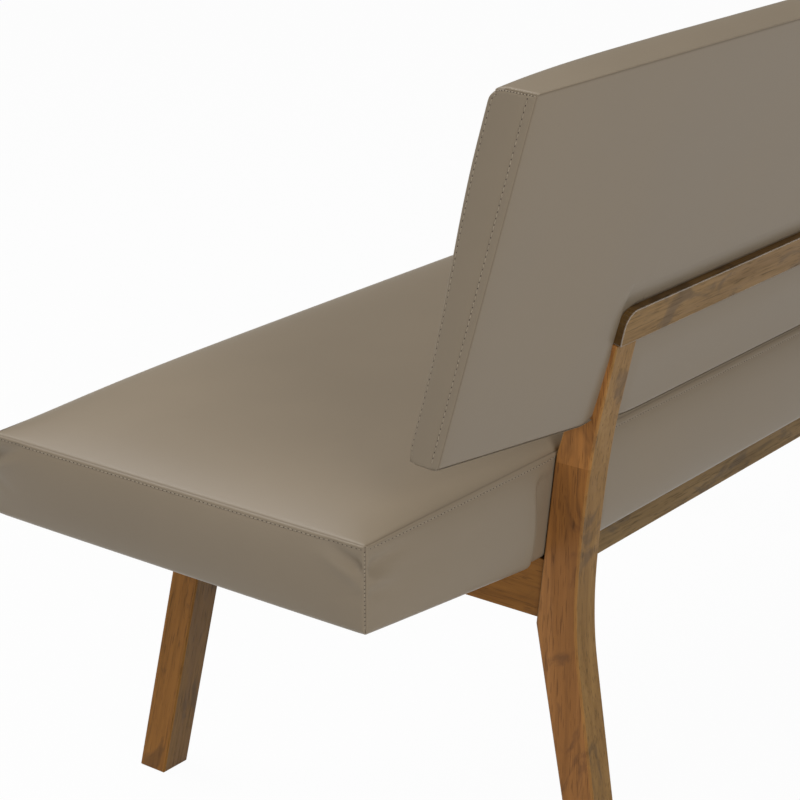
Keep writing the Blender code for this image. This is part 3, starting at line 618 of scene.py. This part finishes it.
def seat_block(points, sizes):
    """Round the seat's edges, draw in its seams and lay the soft folds at its corners."""
    block = Block(points, HALF_SEAT, SEAT_DEPTH / 2, SEAT_THICKNESS)
    for side in UPRIGHT_SIDES:
        block.round_edge("z+", side, sizes.edge_radius, sizes.seam_depth)
        block.round_edge("z-", side, 0.009)
    for side in ("x+", "x-"):
        for other in ("y+", "y-"):
            block.round_edge(side, other, 0.004, 0.6 * sizes.seam_depth, 0.0009)
    down = block.inset("z+")
    for side in UPRIGHT_SIDES:
        row = down - sizes.stitch_inset
        block.relief(side, 0.0003 * bell(row + 0.003, 0.002) - 0.0004 * bell(row, 0.0014))
        for end in UPRIGHT_SIDES:
            if end[0] != side[0]:
                away = block.inset(end)
                near = eased(np.clip(1.5 - away / FOLD_REACH, 0, 1)
                             * np.clip(away / FOLD_START, 0, 1))
                block.relief(side, near * sum(
                    fold(away, down, *crease) for crease in SEAT_FOLDS[side[0]]))
    block.relief("z+", -0.0022 * np.exp(-block.from_edge(*UPRIGHT_SIDES) / 0.014))
    return block


def make_seat(sizes, colours):
    """One closed cover with a well in its underside for the timber frame."""
    half_depth = SEAT_DEPTH / 2
    cover = add_box("seat_cover", (-HALF_SEAT, -half_depth, 0),
                    (HALF_SEAT, half_depth, SEAT_THICKNESS))
    rim = SEAT_SIDE_FOAM
    near = (*EDGE_STEPS, 0.0055, 0.0075, 0.010, 0.013, 0.0163, 0.0235, 0.027, 0.031, 0.0355,
            0.041)
    xs = graded(HALF_SEAT, 0.014, near) + both_ways(HALF_SEAT - rim)
    xs += beside_legs(0.0, 0.006, 0.012, 0.018, 0.021, 0.024, 0.027, 0.030, 0.034, 0.040)
    ys = graded(half_depth, 0.013, near) + [half_depth - rim, rim - half_depth]
    zs = [SEAT_THICKNESS / 2 + place for place in graded(
        SEAT_THICKNESS / 2, 0.004, (*EDGE_STEPS, 0.0052, 0.0072, 0.009, 0.012, 0.016))]
    zs += [SEAT_THICKNESS - sizes.stitch_inset]
    cut_across(cover, (xs, ys, zs))
    points = points_of(cover)
    block = seat_block(points, sizes)
    shaped = seat_form(block.result(), sizes)
    under = block.on("z-") & (block.from_edge(*UPRIGHT_SIDES) > rim - GAP)
    shaped[under, :2] = points[under, :2]
    move_points(cover, shaped + SEAT_ORIGIN)
    paint(cover, "seam", block.seam)
    hollow(cover, lambda c: (abs(c.x) < HALF_SEAT - rim
                             and abs(c.y - SEAT_ORIGIN[1]) < half_depth - rim), DECK_TOP + GAP)
    finish_mesh(cover, leatherette("seat_leatherette", colours))
    return cover


def back_underside(x, z):
    """Rise of the pad's underside: up outside the legs, down between, level on a shoulder."""
    between = np.clip((LEG_OUTER - np.abs(x)) / BACK_DROP_REACH, 0.0, 1.0)
    on_leg = (np.abs(x) > LEG_INNER - 3 * GAP) & (z < SHOULDER_REACH + 0.004)
    outside = np.clip((np.abs(x) - LEG_OUTER - LEG_CLEAR) / BACK_STEP_REACH, 0.0, 1.0)
    sagging = np.clip((off_legs(x) - LEG_CLEAR) / BACK_SAG_REACH, 0.0, 1.0)
    return (end_rise(x, BACK_END_RISE, LEG_OUTER, HALF_BACK) - BACK_MIDDLE_DROP * between * ~on_leg
            - BACK_OUTER_DROP * outside - BACK_SAG * np.maximum(z, 0.0) * sagging)


def soften_rear(x, y, z, sizes):
    """Round the pad's lower rear edge; between the legs its lower part curls outwards."""
    height = y + BACK_HEIGHT / 2
    up, down = (np.clip(1 - place / sizes.rear_roll, 0, 1) for place in (z, height))
    shrink = np.maximum(up, down) / np.maximum(np.hypot(up, down), 1e-9)
    inner = (up > 0) & (down > 0)
    curl = (sizes.rear_curl * np.clip(1 - height / CURL_HEIGHT, 0, 1) ** 2
            * np.clip((CURL_END - np.abs(x)) / CURL_FADE, 0, 1)
            * np.clip(1 - z / PANEL_DEPTH, 0, 1))
    new_y = np.where(inner, sizes.rear_roll * (1 - down * shrink) - BACK_HEIGHT / 2, y)
    return new_y, np.where(inner, sizes.rear_roll * (1 - up * shrink), z) - curl


def back_form(points, sizes):
    """The pad on its rear face: crown the front, level the top, taper it downwards."""
    x, y, z = points.T
    along, across, up = x / HALF_BACK, y / (BACK_HEIGHT / 2), z / BACK_THICKNESS
    crown = sizes.back_crown * up * dome(along, 10) * dome(across, 6)
    lift = back_underside(x, z) * (1 - across) / 2
    top_crown = up * (0.002 + sizes.back_top_crown * dome(along, 10))
    drop = (z * math.tan(BACK_RECLINE) - top_crown) * np.maximum(0.0, across)
    taper = eased((BACK_HEIGHT / 2 - y - BACK_TAPER[0]) / (BACK_TAPER[1] - BACK_TAPER[0]))
    thinner = (BACK_THICKNESS - BACK_LOWER_THICKNESS) * taper
    y, z = soften_rear(x, y, z, sizes)
    return np.stack([x, y + lift - drop, z + crown - thinner * up ** 2], axis=1)


def back_block(points, sizes):
    """Round the back pad's edges and draw in the seams round its end gussets."""
    block = Block(points, HALF_BACK, BACK_HEIGHT / 2, BACK_THICKNESS)
    block.round_edge("z-", "y+", 0.0008)
    for side in ("x+", "x-"):
        block.round_edge(side, "z+", sizes.edge_radius, sizes.seam_depth)
        block.round_edge(side, "y+", sizes.edge_radius, sizes.seam_depth)
        block.round_edge(side, "y-", 0.004, 0.5 * sizes.seam_depth)
        block.round_edge(side, "z-", 0.0008, 0.3 * sizes.seam_depth, 0.0007)
        front, rear = block.inset("z+"), block.inset("z-")
        block.relief(side, -0.0005 * bell(front - sizes.gusset_front, 0.0016)
                     - 0.0005 * bell(rear - sizes.gusset_rear, 0.0016)
                     + 0.0010 * dome(2 * front / BACK_THICKNESS - 1, 2))
    ends = block.from_edge("x+", "x-")
    block.relief("z+", -0.0020 * np.exp(-ends / 0.012))
    block.round_profile("z+", "y+", 0.016, 0.013)
    block.round_profile("z+", "y-", 0.018, 0.019)
    return block


def make_back(sizes, colours):
    """Front, bands and end gussets of the pad, open behind for its board and rear panel."""
    half_height = BACK_HEIGHT / 2
    cover = add_box("back_cover", (-HALF_BACK, -half_height, 0),
                    (HALF_BACK, half_height, BACK_THICKNESS))
    rim = PANEL_RIM
    xs = graded(HALF_BACK, 0.016) + both_ways(HALF_BACK - rim) + beside_legs(0.0, 0.001, 0.021)
    ys = graded(half_height, 0.014) + [half_height - rim, rim - half_height]
    zs = [BACK_THICKNESS / 2 + place for place in graded(
        BACK_THICKNESS / 2, 0.005, (*EDGE_STEPS, 0.0075, 0.010))]
    zs += [sizes.gusset_rear, BACK_THICKNESS - sizes.gusset_front, BOARD_DEPTH - 0.0005]
    cut_across(cover, (xs, ys, zs))
    hollow(cover, lambda c: abs(c.x) < HALF_BACK - rim and abs(c.y) < half_height - rim,
           BOARD_DEPTH + GAP)
    points = points_of(cover)
    block = back_block(points, sizes)
    shaped = back_form(block.result(), sizes)
    inner = ~np.any([block.on(side) for side in (*UPRIGHT_SIDES, "z+", "z-")], axis=0)
    shaped[inner, 2] = points[inner, 2]
    move_points(cover, shaped)
    paint(cover, "seam", block.seam)
    cover.data.transform(BACK_PLACE)
    finish_mesh(cover, leatherette("back_leatherette", colours))
    return cover


def rail_spans():
    """Heights of the top rail's lower and upper edge up the pad, and half its length."""
    to_pad = BACK_PLACE.inverted()
    spots = [to_pad @ vert.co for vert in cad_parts["top_rail"].data.vertices]
    heights = [spot.y for spot in spots]
    return min(heights), max(heights), max(spot.x for spot in spots)


def panel_form(points, sizes):
    """The rear panel on its front face: level the top and lift the lower corners."""
    x, y, z = points.T
    across = y / (BACK_HEIGHT / 2)
    lift = back_underside(x, PANEL_DEPTH - z) * (1 - across) / 2
    drop = (PANEL_DEPTH - z) * math.tan(BACK_RECLINE) * np.maximum(0.0, across)
    y, depth = soften_rear(x, y, PANEL_DEPTH - z, sizes)
    return np.stack([x, y + lift - drop, PANEL_DEPTH - depth], axis=1)


def make_rear_panel(sizes, colours):
    """Flat padded panel behind the back, let in round the uprights and the top rail."""
    half_x, half_y = HALF_BACK - PANEL_RIM - GAP, BACK_HEIGHT / 2 - PANEL_RIM - GAP
    panel = add_box("back_panel_cover", (-half_x, -half_y, 0), (half_x, half_y, PANEL_DEPTH))
    rail_low, rail_high, rail_end = rail_spans()
    steps = (-0.002, 0.003, 0.009, 0.016, 0.026)
    xs = graded(half_x, 0.024) + beside_legs(0.0, 0.001, 0.021, *steps)
    ys = graded(half_y, 0.016) + [rail_high + step for step in steps]
    ys += [rail_low - step for step in steps]
    zs = [PANEL_DEPTH / 2 + place for place in graded(PANEL_DEPTH / 2, 0.004, EDGE_STEPS)]
    cut_across(panel, (xs, ys, zs))
    block = Block(points_of(panel), half_x, half_y, PANEL_DEPTH)
    for side in UPRIGHT_SIDES:
        block.round_edge("z+", side, 0.0012)
    ends = block.from_edge(*UPRIGHT_SIDES)
    block.relief("z+", -0.0008 * np.exp(-ends / 0.010))
    # painted shade along the panel's edges where it meets the cover, left off its lower edge
    block.seam = 0.6 * bell(ends, 0.0010) * (block.inset("y-") > 0.001)
    shaped = panel_form(block.result(), sizes)
    x, y, _ = shaped.T
    off_leg = np.hypot(off_legs(x), np.maximum(0.0, y - rail_high))
    off_rail = np.hypot(np.maximum(0.0, np.maximum(y - rail_high, rail_low - y)),
                        2.5 * np.maximum(0.0, np.abs(x) - rail_end + 0.004))
    dip = np.maximum(bell(off_rail, 0.016), 0.45 * bell(off_leg, 0.012))
    shaped[:, 2] -= sizes.joint_dip * dip * block.on("z+")
    move_points(panel, shaped)
    paint(panel, "seam", block.seam)
    panel.data.transform(PANEL_PLACE)
    cut_away(panel, *[fattened_copy(name, 2 * GAP)
                      for name in ("rear_leg_left", "rear_leg_right", "top_rail")])
    # the rear panel's leatherette is a darker copy of the cover's, as painted shade
    finish_mesh(panel, leatherette("shaded_panel_leatherette", colours, 0.92))
    return panel


def fattened_copy(node, margin):
    """A closed copy of a solid, grown by a margin, to cut room for it."""
    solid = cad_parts[node]
    copy = bpy.data.objects.new("room_for_" + node, solid.data.copy())
    bpy.context.scene.collection.objects.link(copy)
    select(copy)
    bpy.ops.object.mode_set(mode="EDIT")
    bpy.ops.mesh.select_all(action="SELECT")
    bpy.ops.mesh.remove_doubles(threshold=0.00001)
    bpy.ops.transform.shrink_fatten(value=-margin)
    bpy.ops.object.mode_set(mode="OBJECT")
    return copy


def bead(name, length, width, height):
    """A small rounded bar lying along X, the start of a stitch or of a dark dot of painted shade
    at a needle hole.
    """
    bpy.ops.object.select_all(action="DESELECT")
    bpy.ops.mesh.primitive_uv_sphere_add(segments=6, ring_count=5, radius=0.5,
                                         rotation=(0, math.pi / 2, 0))
    piece = bpy.context.active_object
    piece.name = name
    bpy.ops.object.transform_apply()
    piece.scale = (length, width, height)
    bpy.ops.object.transform_apply()
    return piece


def strew(name, template, spots, material):
    """Copy a small shape to many spots, each (middle, along, outwards), as one mesh."""
    base = points_of(template)
    faces = [list(face.vertices) for face in template.data.polygons]
    points, polygons = [], []
    for middle, along, outwards in spots:
        first = along / np.linalg.norm(along)
        third = outwards - first * np.dot(outwards, first)
        third /= np.linalg.norm(third)
        axes = np.array([first, np.cross(third, first), third])
        start = len(points) * len(base)
        points.append(base @ axes + middle)
        polygons += [[start + corner for corner in face] for face in faces]
    mesh = bpy.data.meshes.new(name)
    mesh.from_pydata(np.concatenate(points).tolist(), [], polygons)
    bpy.data.objects.remove(template)
    piece = bpy.data.objects.new(name, mesh)
    bpy.context.scene.collection.objects.link(piece)
    finish_mesh(piece, material, 80)
    return piece


def row_spots(places, start, end, outwards, pitch, shift=0.0):
    """Spots of a row of stitches on a side of a block, from start to end.

    places gives where points of the block lie once it is shaped.
    """
    start, end, outwards = (np.array(v, float) for v in (start, end, outwards))
    length = np.linalg.norm(end - start)
    ahead = (end - start) / length
    count = int(length / pitch)
    middles = [start + ahead * pitch * (i + 0.5 + shift) for i in range(count)]
    sideways = np.cross(outwards, ahead)
    step = 0.0004
    probe = places(np.array([m + offset for m in middles for offset in (
        0 * ahead, ahead * step, -ahead * step, sideways * step, -sideways * step)]))
    spots = []
    for i in range(count):
        middle, after, before, one, other = probe[5 * i:5 * i + 5]
        normal = np.cross(after - before, one - other)
        spots.append((middle, after - before, normal))
    return spots


def sew(name, rows, pitch, colours):
    """Threads, and dark dots of painted shade at the needle holes, of rows of stitches, each row
    (places, start, end, out).
    """
    threads, holes = [], []
    for places, start, end, outwards in rows:
        threads += row_spots(places, start, end, outwards, pitch)
        holes += row_spots(places, start, end, outwards, pitch, 0.5)
    finish = thread(name + "_thread", colours.thread)
    bar = bead("stitch", pitch * 0.74, 0.0012, 0.0011)
    made = strew(name + "_stitches", bar, threads, finish)
    # the needle holes are small dark dots in the seam colour: painted shade where the thread goes
    # in
    dark = thread(name + "_hole", colours.seam)
    dot = bead("hole", 0.0011, 0.0010, 0.0006)
    hole_shade = strew(name + "_needle_holes", dot, holes, dark)
    return made, hole_shade


def seat_places(points, sizes):
    """Where points on the seat's block end up."""
    return seat_form(seat_block(points, sizes).result(), sizes) + SEAT_ORIGIN


def back_places(points, sizes):
    """Where points on the back pad's block end up."""
    shaped = back_form(back_block(points, sizes).result(), sizes)
    turn = np.array(BACK_PLACE)
    return shaped @ turn[:3, :3].T + turn[:3, 3]


def sew_seat(sizes, colours):
    """Topstitching round the seat, under its upper seam and down its corners."""
    height = SEAT_THICKNESS - sizes.stitch_inset
    half_y, end_gap = SEAT_DEPTH / 2, 0.004
    rows = []
    for side in (1, -1):
        rows.append(((side * HALF_SEAT, -half_y + end_gap, height),
                     (side * HALF_SEAT, half_y - end_gap, height), (side, 0, 0)))
        rows.append(((-HALF_SEAT + end_gap, side * half_y, height),
                     (HALF_SEAT - end_gap, side * half_y, height), (0, side, 0)))
        for end in (1, -1):
            rows.append(((end * HALF_SEAT, side * (half_y - 0.0005), 0.010),
                         (end * HALF_SEAT, side * (half_y - 0.0005), height), (end, 0, 0)))
    return sew("seat", [(lambda p: seat_places(p, sizes), *row) for row in rows],
               sizes.seat_pitch, colours)


def sew_back(sizes, colours):
    """Two rows of stitches on each end gusset of the back pad."""
    low, high = -BACK_HEIGHT / 2 + 0.007, BACK_HEIGHT / 2 - 0.005
    rows, tops = [], []
    for side in (1, -1):
        for z in (sizes.gusset_rear, BACK_THICKNESS - sizes.gusset_front):
            rows.append((lambda p: back_places(p, sizes), (side * HALF_BACK, low, z),
                         (side * HALF_BACK, high, z), (side, 0, 0)))
        tops.append((lambda p: back_places(p, sizes), (side * HALF_BACK, high + 0.0035, 0.001),
                     (side * HALF_BACK, high + 0.0035, BACK_THICKNESS - 0.003), (side, 0, 0)))
    return [*sew("back", rows, sizes.back_pitch, colours),
            *sew("back_top", tops, 0.45 * sizes.back_pitch, colours)]


QUARTER = math.radians(90)
UPRIGHT, LEANING = (0.0, 0.0, 0.0), (math.radians(13.4), 0.0, 0.0)
ALONG_X, ALONG_Y = (0.0, QUARTER, 0.0), (QUARTER, 0.0, 0.0)
REAR_LEG_TINTS_AND_LIGHT = ((1.05, 1.13, 1.3), (1.40, 1.12, 1.16))
FRONT_LEG_TINTS_AND_SHADE = ((0.68, 0.65, 0.47), (1.58, 1.35, 1.2))
SIDE_RAIL_TINT = (1.15, 0.95, 0.70)
# grain direction, place in the wood, height of a glued joint, tints of the board and of its
# sides, and colour of the highlight painted along its rounded edges. Besides the wood's tone,
# the tints paint light and shade: the front legs' rear faces are darkened as painted shade
# from the seat, the rear legs' sides are lightened as painted light, and the top rail's top is
# darkened as painted shade under the pad.
WOOD_GRAIN = {
    "rear_leg_left": (UPRIGHT, 3.1, 0.461, *REAR_LEG_TINTS_AND_LIGHT),
    "rear_leg_right": (UPRIGHT, 7.7, 0.431, *REAR_LEG_TINTS_AND_LIGHT),
    "front_leg_left": (LEANING, 11.3, None, *FRONT_LEG_TINTS_AND_SHADE),
    "front_leg_right": (LEANING, 17.9, None, *FRONT_LEG_TINTS_AND_SHADE),
    "side_rail_left": (ALONG_Y, 23.1, None, SIDE_RAIL_TINT),
    "side_rail_right": (ALONG_Y, 29.7, None, SIDE_RAIL_TINT),
    "front_apron": (ALONG_X, 31.3),
    "rear_apron": (ALONG_X, 37.9, None, (0.75, 0.88, 1.05)),
    "centre_rail": (ALONG_Y, 41.3),
    "top_rail": (ALONG_X, 47.7, None, (0.85, 0.94, 1.05), (0.52, 0.50, 0.55),
                 (0.95, 0.93, 0.90)),
}


def assign(node, material):
    """Give a solid of the frame a finish."""
    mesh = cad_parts[node].data
    if not mesh.materials:
        mesh.materials.append(material)
    for index in range(len(mesh.materials)):
        mesh.materials[index] = material


def inside_finishes():
    """The finish of each hidden solid, by the start of its name."""
    beech = plain_wood("bare_beech", (0.76, 0.63, 0.48))
    pine = plain_wood("bare_pine", (0.80, 0.69, 0.53), ALONG_X)
    ply = plain_wood("bare_plywood", (0.75, 0.63, 0.48), ALONG_X)
    cloth = dust_cloth("black_dust_cloth", (0.13, 0.13, 0.13))
    plated = steel("plated_steel", (0.78, 0.78, 0.77))
    return (("seat_bearer", pine), ("seat_cross", pine), ("seat_deck", ply),
            ("back_board", ply), ("seat_dust", cloth), ("seat_screw", plated),
            ("back_pin", plated), ("corner_block", beech))


def measure(name, description, default, lowest, highest):
    """A size in metres for the sidebar."""
    return FloatProperty(name=name, description=description, default=default, min=lowest,
                         max=highest, unit="LENGTH", subtype="DISTANCE")


def shade(name, description, default):
    """A colour for the sidebar."""
    return FloatVectorProperty(name=name, description=description, default=default, min=0.0,
                               max=1.0, size=3, subtype="COLOR")


def wattage(name, description, default):
    """A light's power in watts for the sidebar."""
    return FloatProperty(name=name, description=description, default=default, min=0.0,
                         max=1000.0, unit="POWER")


class BenchSizes(bpy.types.PropertyGroup):
    """Sizes of the soft pieces and their sewing."""
    seat_crown: measure("Seat crown", "How far the middle of the seat stands above its seam",
                        0.0245, 0.0, 0.05)
    seat_belly: measure("Seat belly", "How much more the seat swells towards its middle",
                        0.004, 0.0, 0.03)
    seat_bow: measure("Seat bow", "How far the seat's front seam bows out in its middle",
                      0.003, 0.0, 0.02)
    edge_radius: measure("Edge radius", "Radius of the sewn edges", 0.0045, 0.001, 0.01)
    seam_depth: measure("Seam depth", "How deep a seam is drawn in", 0.0008, 0.0, 0.004)
    stitch_inset: measure("Stitch inset", "From a seam to its row of stitches", 0.006, 0.002, 0.02)
    seat_pitch: measure("Seat stitch", "Length of one stitch on the seat", 0.0045, 0.002, 0.02)
    back_crown: measure("Back crown", "How far the middle of the back's front stands out",
                        0.013, 0.0, 0.05)
    back_top_crown: measure("Back top crown", "How far the middle of the back's top band rises",
                            0.0075, 0.0, 0.02)
    rear_roll: measure("Rear roll", "Radius of the pad's lower rear edge", 0.006, 0.001, 0.015)
    rear_curl: measure("Rear curl", "How far the panel's lower edge curls out between the legs",
                       0.002, 0.0, 0.01)
    joint_dip: measure("Joint dip", "How far the rear panel is drawn in beside the top rail",
                       0.0045, 0.0, 0.01)
    gusset_front: measure("Front gusset row", "From a gusset's front seam to its stitches",
                          0.0055, 0.002, 0.02)
    gusset_rear: measure("Rear gusset row", "From a gusset's rear edge to its stitches",
                         0.0072, 0.002, 0.02)
    back_pitch: measure("Back stitch", "Length of one stitch on the back", 0.0057, 0.002, 0.02)


class BenchColours(bpy.types.PropertyGroup):
    """Colours as seen on screen."""
    leather: shade("Leatherette", "Colour of the covers", (0.567, 0.510, 0.430))
    # the seam colour is painted shade, deep in the seams and in the dots at the needle holes
    seam: shade("Seam", "Colour deep in the seams", (0.26, 0.205, 0.16))
    thread: shade("Thread", "Colour of the sewing thread", (0.625, 0.57, 0.49))
    wood: shade("Wood", "Main colour of the stained wood", (0.566, 0.404, 0.190))
    wood_light: shade("Light wood", "Lightest colour of the grain", (0.64, 0.47, 0.24))
    wood_dark: shade("Dark wood", "Darkest colour of the grain", (0.34, 0.25, 0.15))


class BenchStage(bpy.types.PropertyGroup):
    """Floor, light and camera."""
    floor: shade("Floor", "Colour of the floor", (0.80, 0.80, 0.80))
    top_power: wattage("Top light", "Power of the large light high above the bench's front", 71.0)
    rear_power: wattage("Rear light", "Power of the light behind the bench", 51.0)
    end_power: wattage("End light", "Power of the low light off the near end", 12.0)
    sky: FloatProperty(
        name="Surroundings", description="Strength of the even light all round",
        default=0.215, min=0.0, max=5.0, subtype="FACTOR")
    lens: FloatProperty(
        name="Lens", description="Focal length on a sensor 36 mm wide, in millimetres",
        default=102.5, min=10.0, max=500.0, unit="CAMERA")


class BenchOperator:
    """What the bench's operators have in common."""
    bl_options = {"REGISTER", "UNDO"}

    def settings(self, context):
        return context.scene.bench_sizes, context.scene.bench_colours

    def keep(self, piece, slot, *nodes, fill=None):
        """Hide the frame's solids that a piece stands for and hang the piece on the root body;
        slot and fill are not used.
        """
        if nodes:
            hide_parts(*nodes)
        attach(piece, "root")


class BENCH_OT_finish_wood(BenchOperator, bpy.types.Operator):
    """Stain the legs, the rails and the aprons"""
    bl_idname = "bench.finish_wood"
    bl_label = "Finish the wood"

    def execute(self, context):
        for node, grain in WOOD_GRAIN.items():
            assign(node, walnut("walnut_" + node, context.scene.bench_colours, *grain))
        return {"FINISHED"}


class BENCH_OT_finish_inside(BenchOperator, bpy.types.Operator):
    """Finish the timber, the boards, the cloth and the fixings inside"""
    bl_idname = "bench.finish_inside"
    bl_label = "Finish the inside"

    def execute(self, context):
        finishes = inside_finishes()
        beech = finishes[-1][1]
        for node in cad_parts:
            if node not in WOOD_GRAIN:
                assign(node, next((finish for start, finish in finishes
                                   if node.startswith(start)), beech))
        return {"FINISHED"}


class BENCH_OT_cover_seat(BenchOperator, bpy.types.Operator):
    """Make the seat's sewn cover"""
    bl_idname = "bench.cover_seat"
    bl_label = "Cover the seat"

    def execute(self, context):
        cover = make_seat(*self.settings(context))
        self.keep(cover, "leatherette", "seat_cushion", fill=0.9)
        return {"FINISHED"}


class BENCH_OT_cover_back(BenchOperator, bpy.types.Operator):
    """Make the back pad's front, bands and end gussets"""
    bl_idname = "bench.cover_back"
    bl_label = "Cover the back"

    def execute(self, context):
        cover = make_back(*self.settings(context))
        self.keep(cover, "leatherette", "back_cushion", fill=0.9)
        return {"FINISHED"}


class BENCH_OT_cover_rear_panel(BenchOperator, bpy.types.Operator):
    """Make the padded panel behind the back"""
    bl_idname = "bench.cover_rear_panel"
    bl_label = "Cover the rear panel"

    def execute(self, context):
        panel = make_rear_panel(*self.settings(context))
        self.keep(panel, "leatherette", "back_rear_panel", fill=0.9)
        return {"FINISHED"}


class BENCH_OT_sew_seat(BenchOperator, bpy.types.Operator):
    """Sew the row of stitches round the seat"""
    bl_idname = "bench.sew_seat"
    bl_label = "Sew the seat"

    def execute(self, context):
        for piece in sew_seat(*self.settings(context)):
            self.keep(piece, "leatherette")
        return {"FINISHED"}


class BENCH_OT_sew_back(BenchOperator, bpy.types.Operator):
    """Sew the rows of stitches on the back's end gussets"""
    bl_idname = "bench.sew_back"
    bl_label = "Sew the back"

    def execute(self, context):
        for piece in sew_back(*self.settings(context)):
            self.keep(piece, "leatherette")
        return {"FINISHED"}


class BENCH_OT_set_stage(bpy.types.Operator):
    """Lay the floor, light the studio and place the camera"""
    bl_idname = "bench.set_stage"
    bl_label = "Set the stage"

    def execute(self, context):
        stage = context.scene.bench_stage
        lay_floor(stage)
        light_studio(stage)
        place_camera(stage)
        context.scene.view_settings.view_transform = "Standard"
        return {"FINISHED"}


def lay_floor(stage):
    """A wide pale floor that looks white to the camera and keeps the bench's shadow."""
    bpy.ops.object.select_all(action="DESELECT")
    bpy.ops.mesh.primitive_plane_add(size=40.0)
    floor = bpy.context.active_object
    floor.name = "floor"
    finish = Finish("pale_floor")
    finish.surface(Base_Color=(*linear(stage.floor), 1.0), Roughness=0.9,
                   Specular_IOR_Level=0.1)
    path = finish.tree.nodes.new("ShaderNodeLightPath")
    glow = finish.node("Emission", {}, {"Strength": 1.0})
    seen = finish.node("Math", {"operation": "MAXIMUM"}, {
        0: Signal(finish, path.outputs["Is Camera Ray"]),
        1: Signal(finish, path.outputs["Is Glossy Ray"])})
    blend = finish.node("MixShader", {}, {
        0: seen * 0.97, 1: Signal(finish, finish.shader.outputs[0]), 2: glow})
    finish.feed(finish.tree.nodes["Material Output"].inputs["Surface"], blend)
    floor.data.materials.append(finish.material)


def area_light(name, place, target, size, power):
    """A large square light that faces a target."""
    place, target = Vector(place), Vector(target)
    data = bpy.data.lights.new(name, "AREA")
    data.shape = "SQUARE"
    data.size, data.energy = size, power
    light = bpy.data.objects.new(name, data)
    light.location = place
    light.rotation_euler = (target - place).to_track_quat("-Z", "Y").to_euler()
    bpy.context.scene.collection.objects.link(light)


def light_studio(stage):
    """Even surroundings, a large top light and two lower ones."""
    world = bpy.data.worlds.new("surroundings")
    bpy.context.scene.world = world
    world.use_nodes = True
    background = world.node_tree.nodes["Background"]
    background.inputs["Color"].default_value = (1.0, 1.0, 1.0, 1.0)
    background.inputs["Strength"].default_value = stage.sky
    target = (0.2, 0.0, 0.4)
    area_light("top", (0.6, -1.6, 3.2), target, 2.0, stage.top_power)
    area_light("rear", (1.8, 3.0, 1.9), target, 1.6, stage.rear_power)
    area_light("end", (3.6, -0.9, 1.2), target, 1.6, stage.end_power)


def place_camera(stage):
    """The photograph's view, from behind the bench's left end."""
    data = bpy.data.cameras.new("camera")
    data.lens, data.sensor_width = stage.lens, 36.0
    camera = bpy.data.objects.new("camera", data)
    right, up = Vector((-0.608587, 0.793487, 0.0)), Vector((-0.264389, -0.202780, 0.942857))
    turn = Matrix((right, up, right.cross(up))).transposed().to_4x4()
    turn.translation = (2.01782, 1.19590, 1.16150)
    camera.matrix_world = turn
    bpy.context.scene.collection.objects.link(camera)
    bpy.context.scene.camera = camera


class BENCH_PT_pieces(bpy.types.Panel):
    """Sizes, colours and pieces of the bench"""
    bl_idname = "BENCH_PT_pieces"
    bl_label = "Bench"
    bl_space_type = "VIEW_3D"
    bl_region_type = "UI"
    bl_category = "Bench"

    def draw(self, context):
        scene = context.scene
        for group in (scene.bench_sizes, scene.bench_colours, scene.bench_stage):
            box = self.layout.box()
            for name in group.__annotations__:
                box.prop(group, name)
        for operator in OPERATORS:
            self.layout.operator(operator.bl_idname)


GROUPS = {"bench_sizes": BenchSizes, "bench_colours": BenchColours, "bench_stage": BenchStage}
OPERATORS = (BENCH_OT_finish_wood, BENCH_OT_finish_inside, BENCH_OT_cover_seat,
             BENCH_OT_cover_back, BENCH_OT_cover_rear_panel, BENCH_OT_sew_seat,
             BENCH_OT_sew_back, BENCH_OT_set_stage)
CLASSES = (*GROUPS.values(), *OPERATORS, BENCH_PT_pieces)


def register():
    for item in CLASSES:
        bpy.utils.register_class(item)
    for name, group in GROUPS.items():
        setattr(bpy.types.Scene, name, PointerProperty(type=group))


def unregister():
    for name in GROUPS:
        delattr(bpy.types.Scene, name)
    for item in reversed(CLASSES):
        bpy.utils.unregister_class(item)


if __name__ == "__main__":
    main()
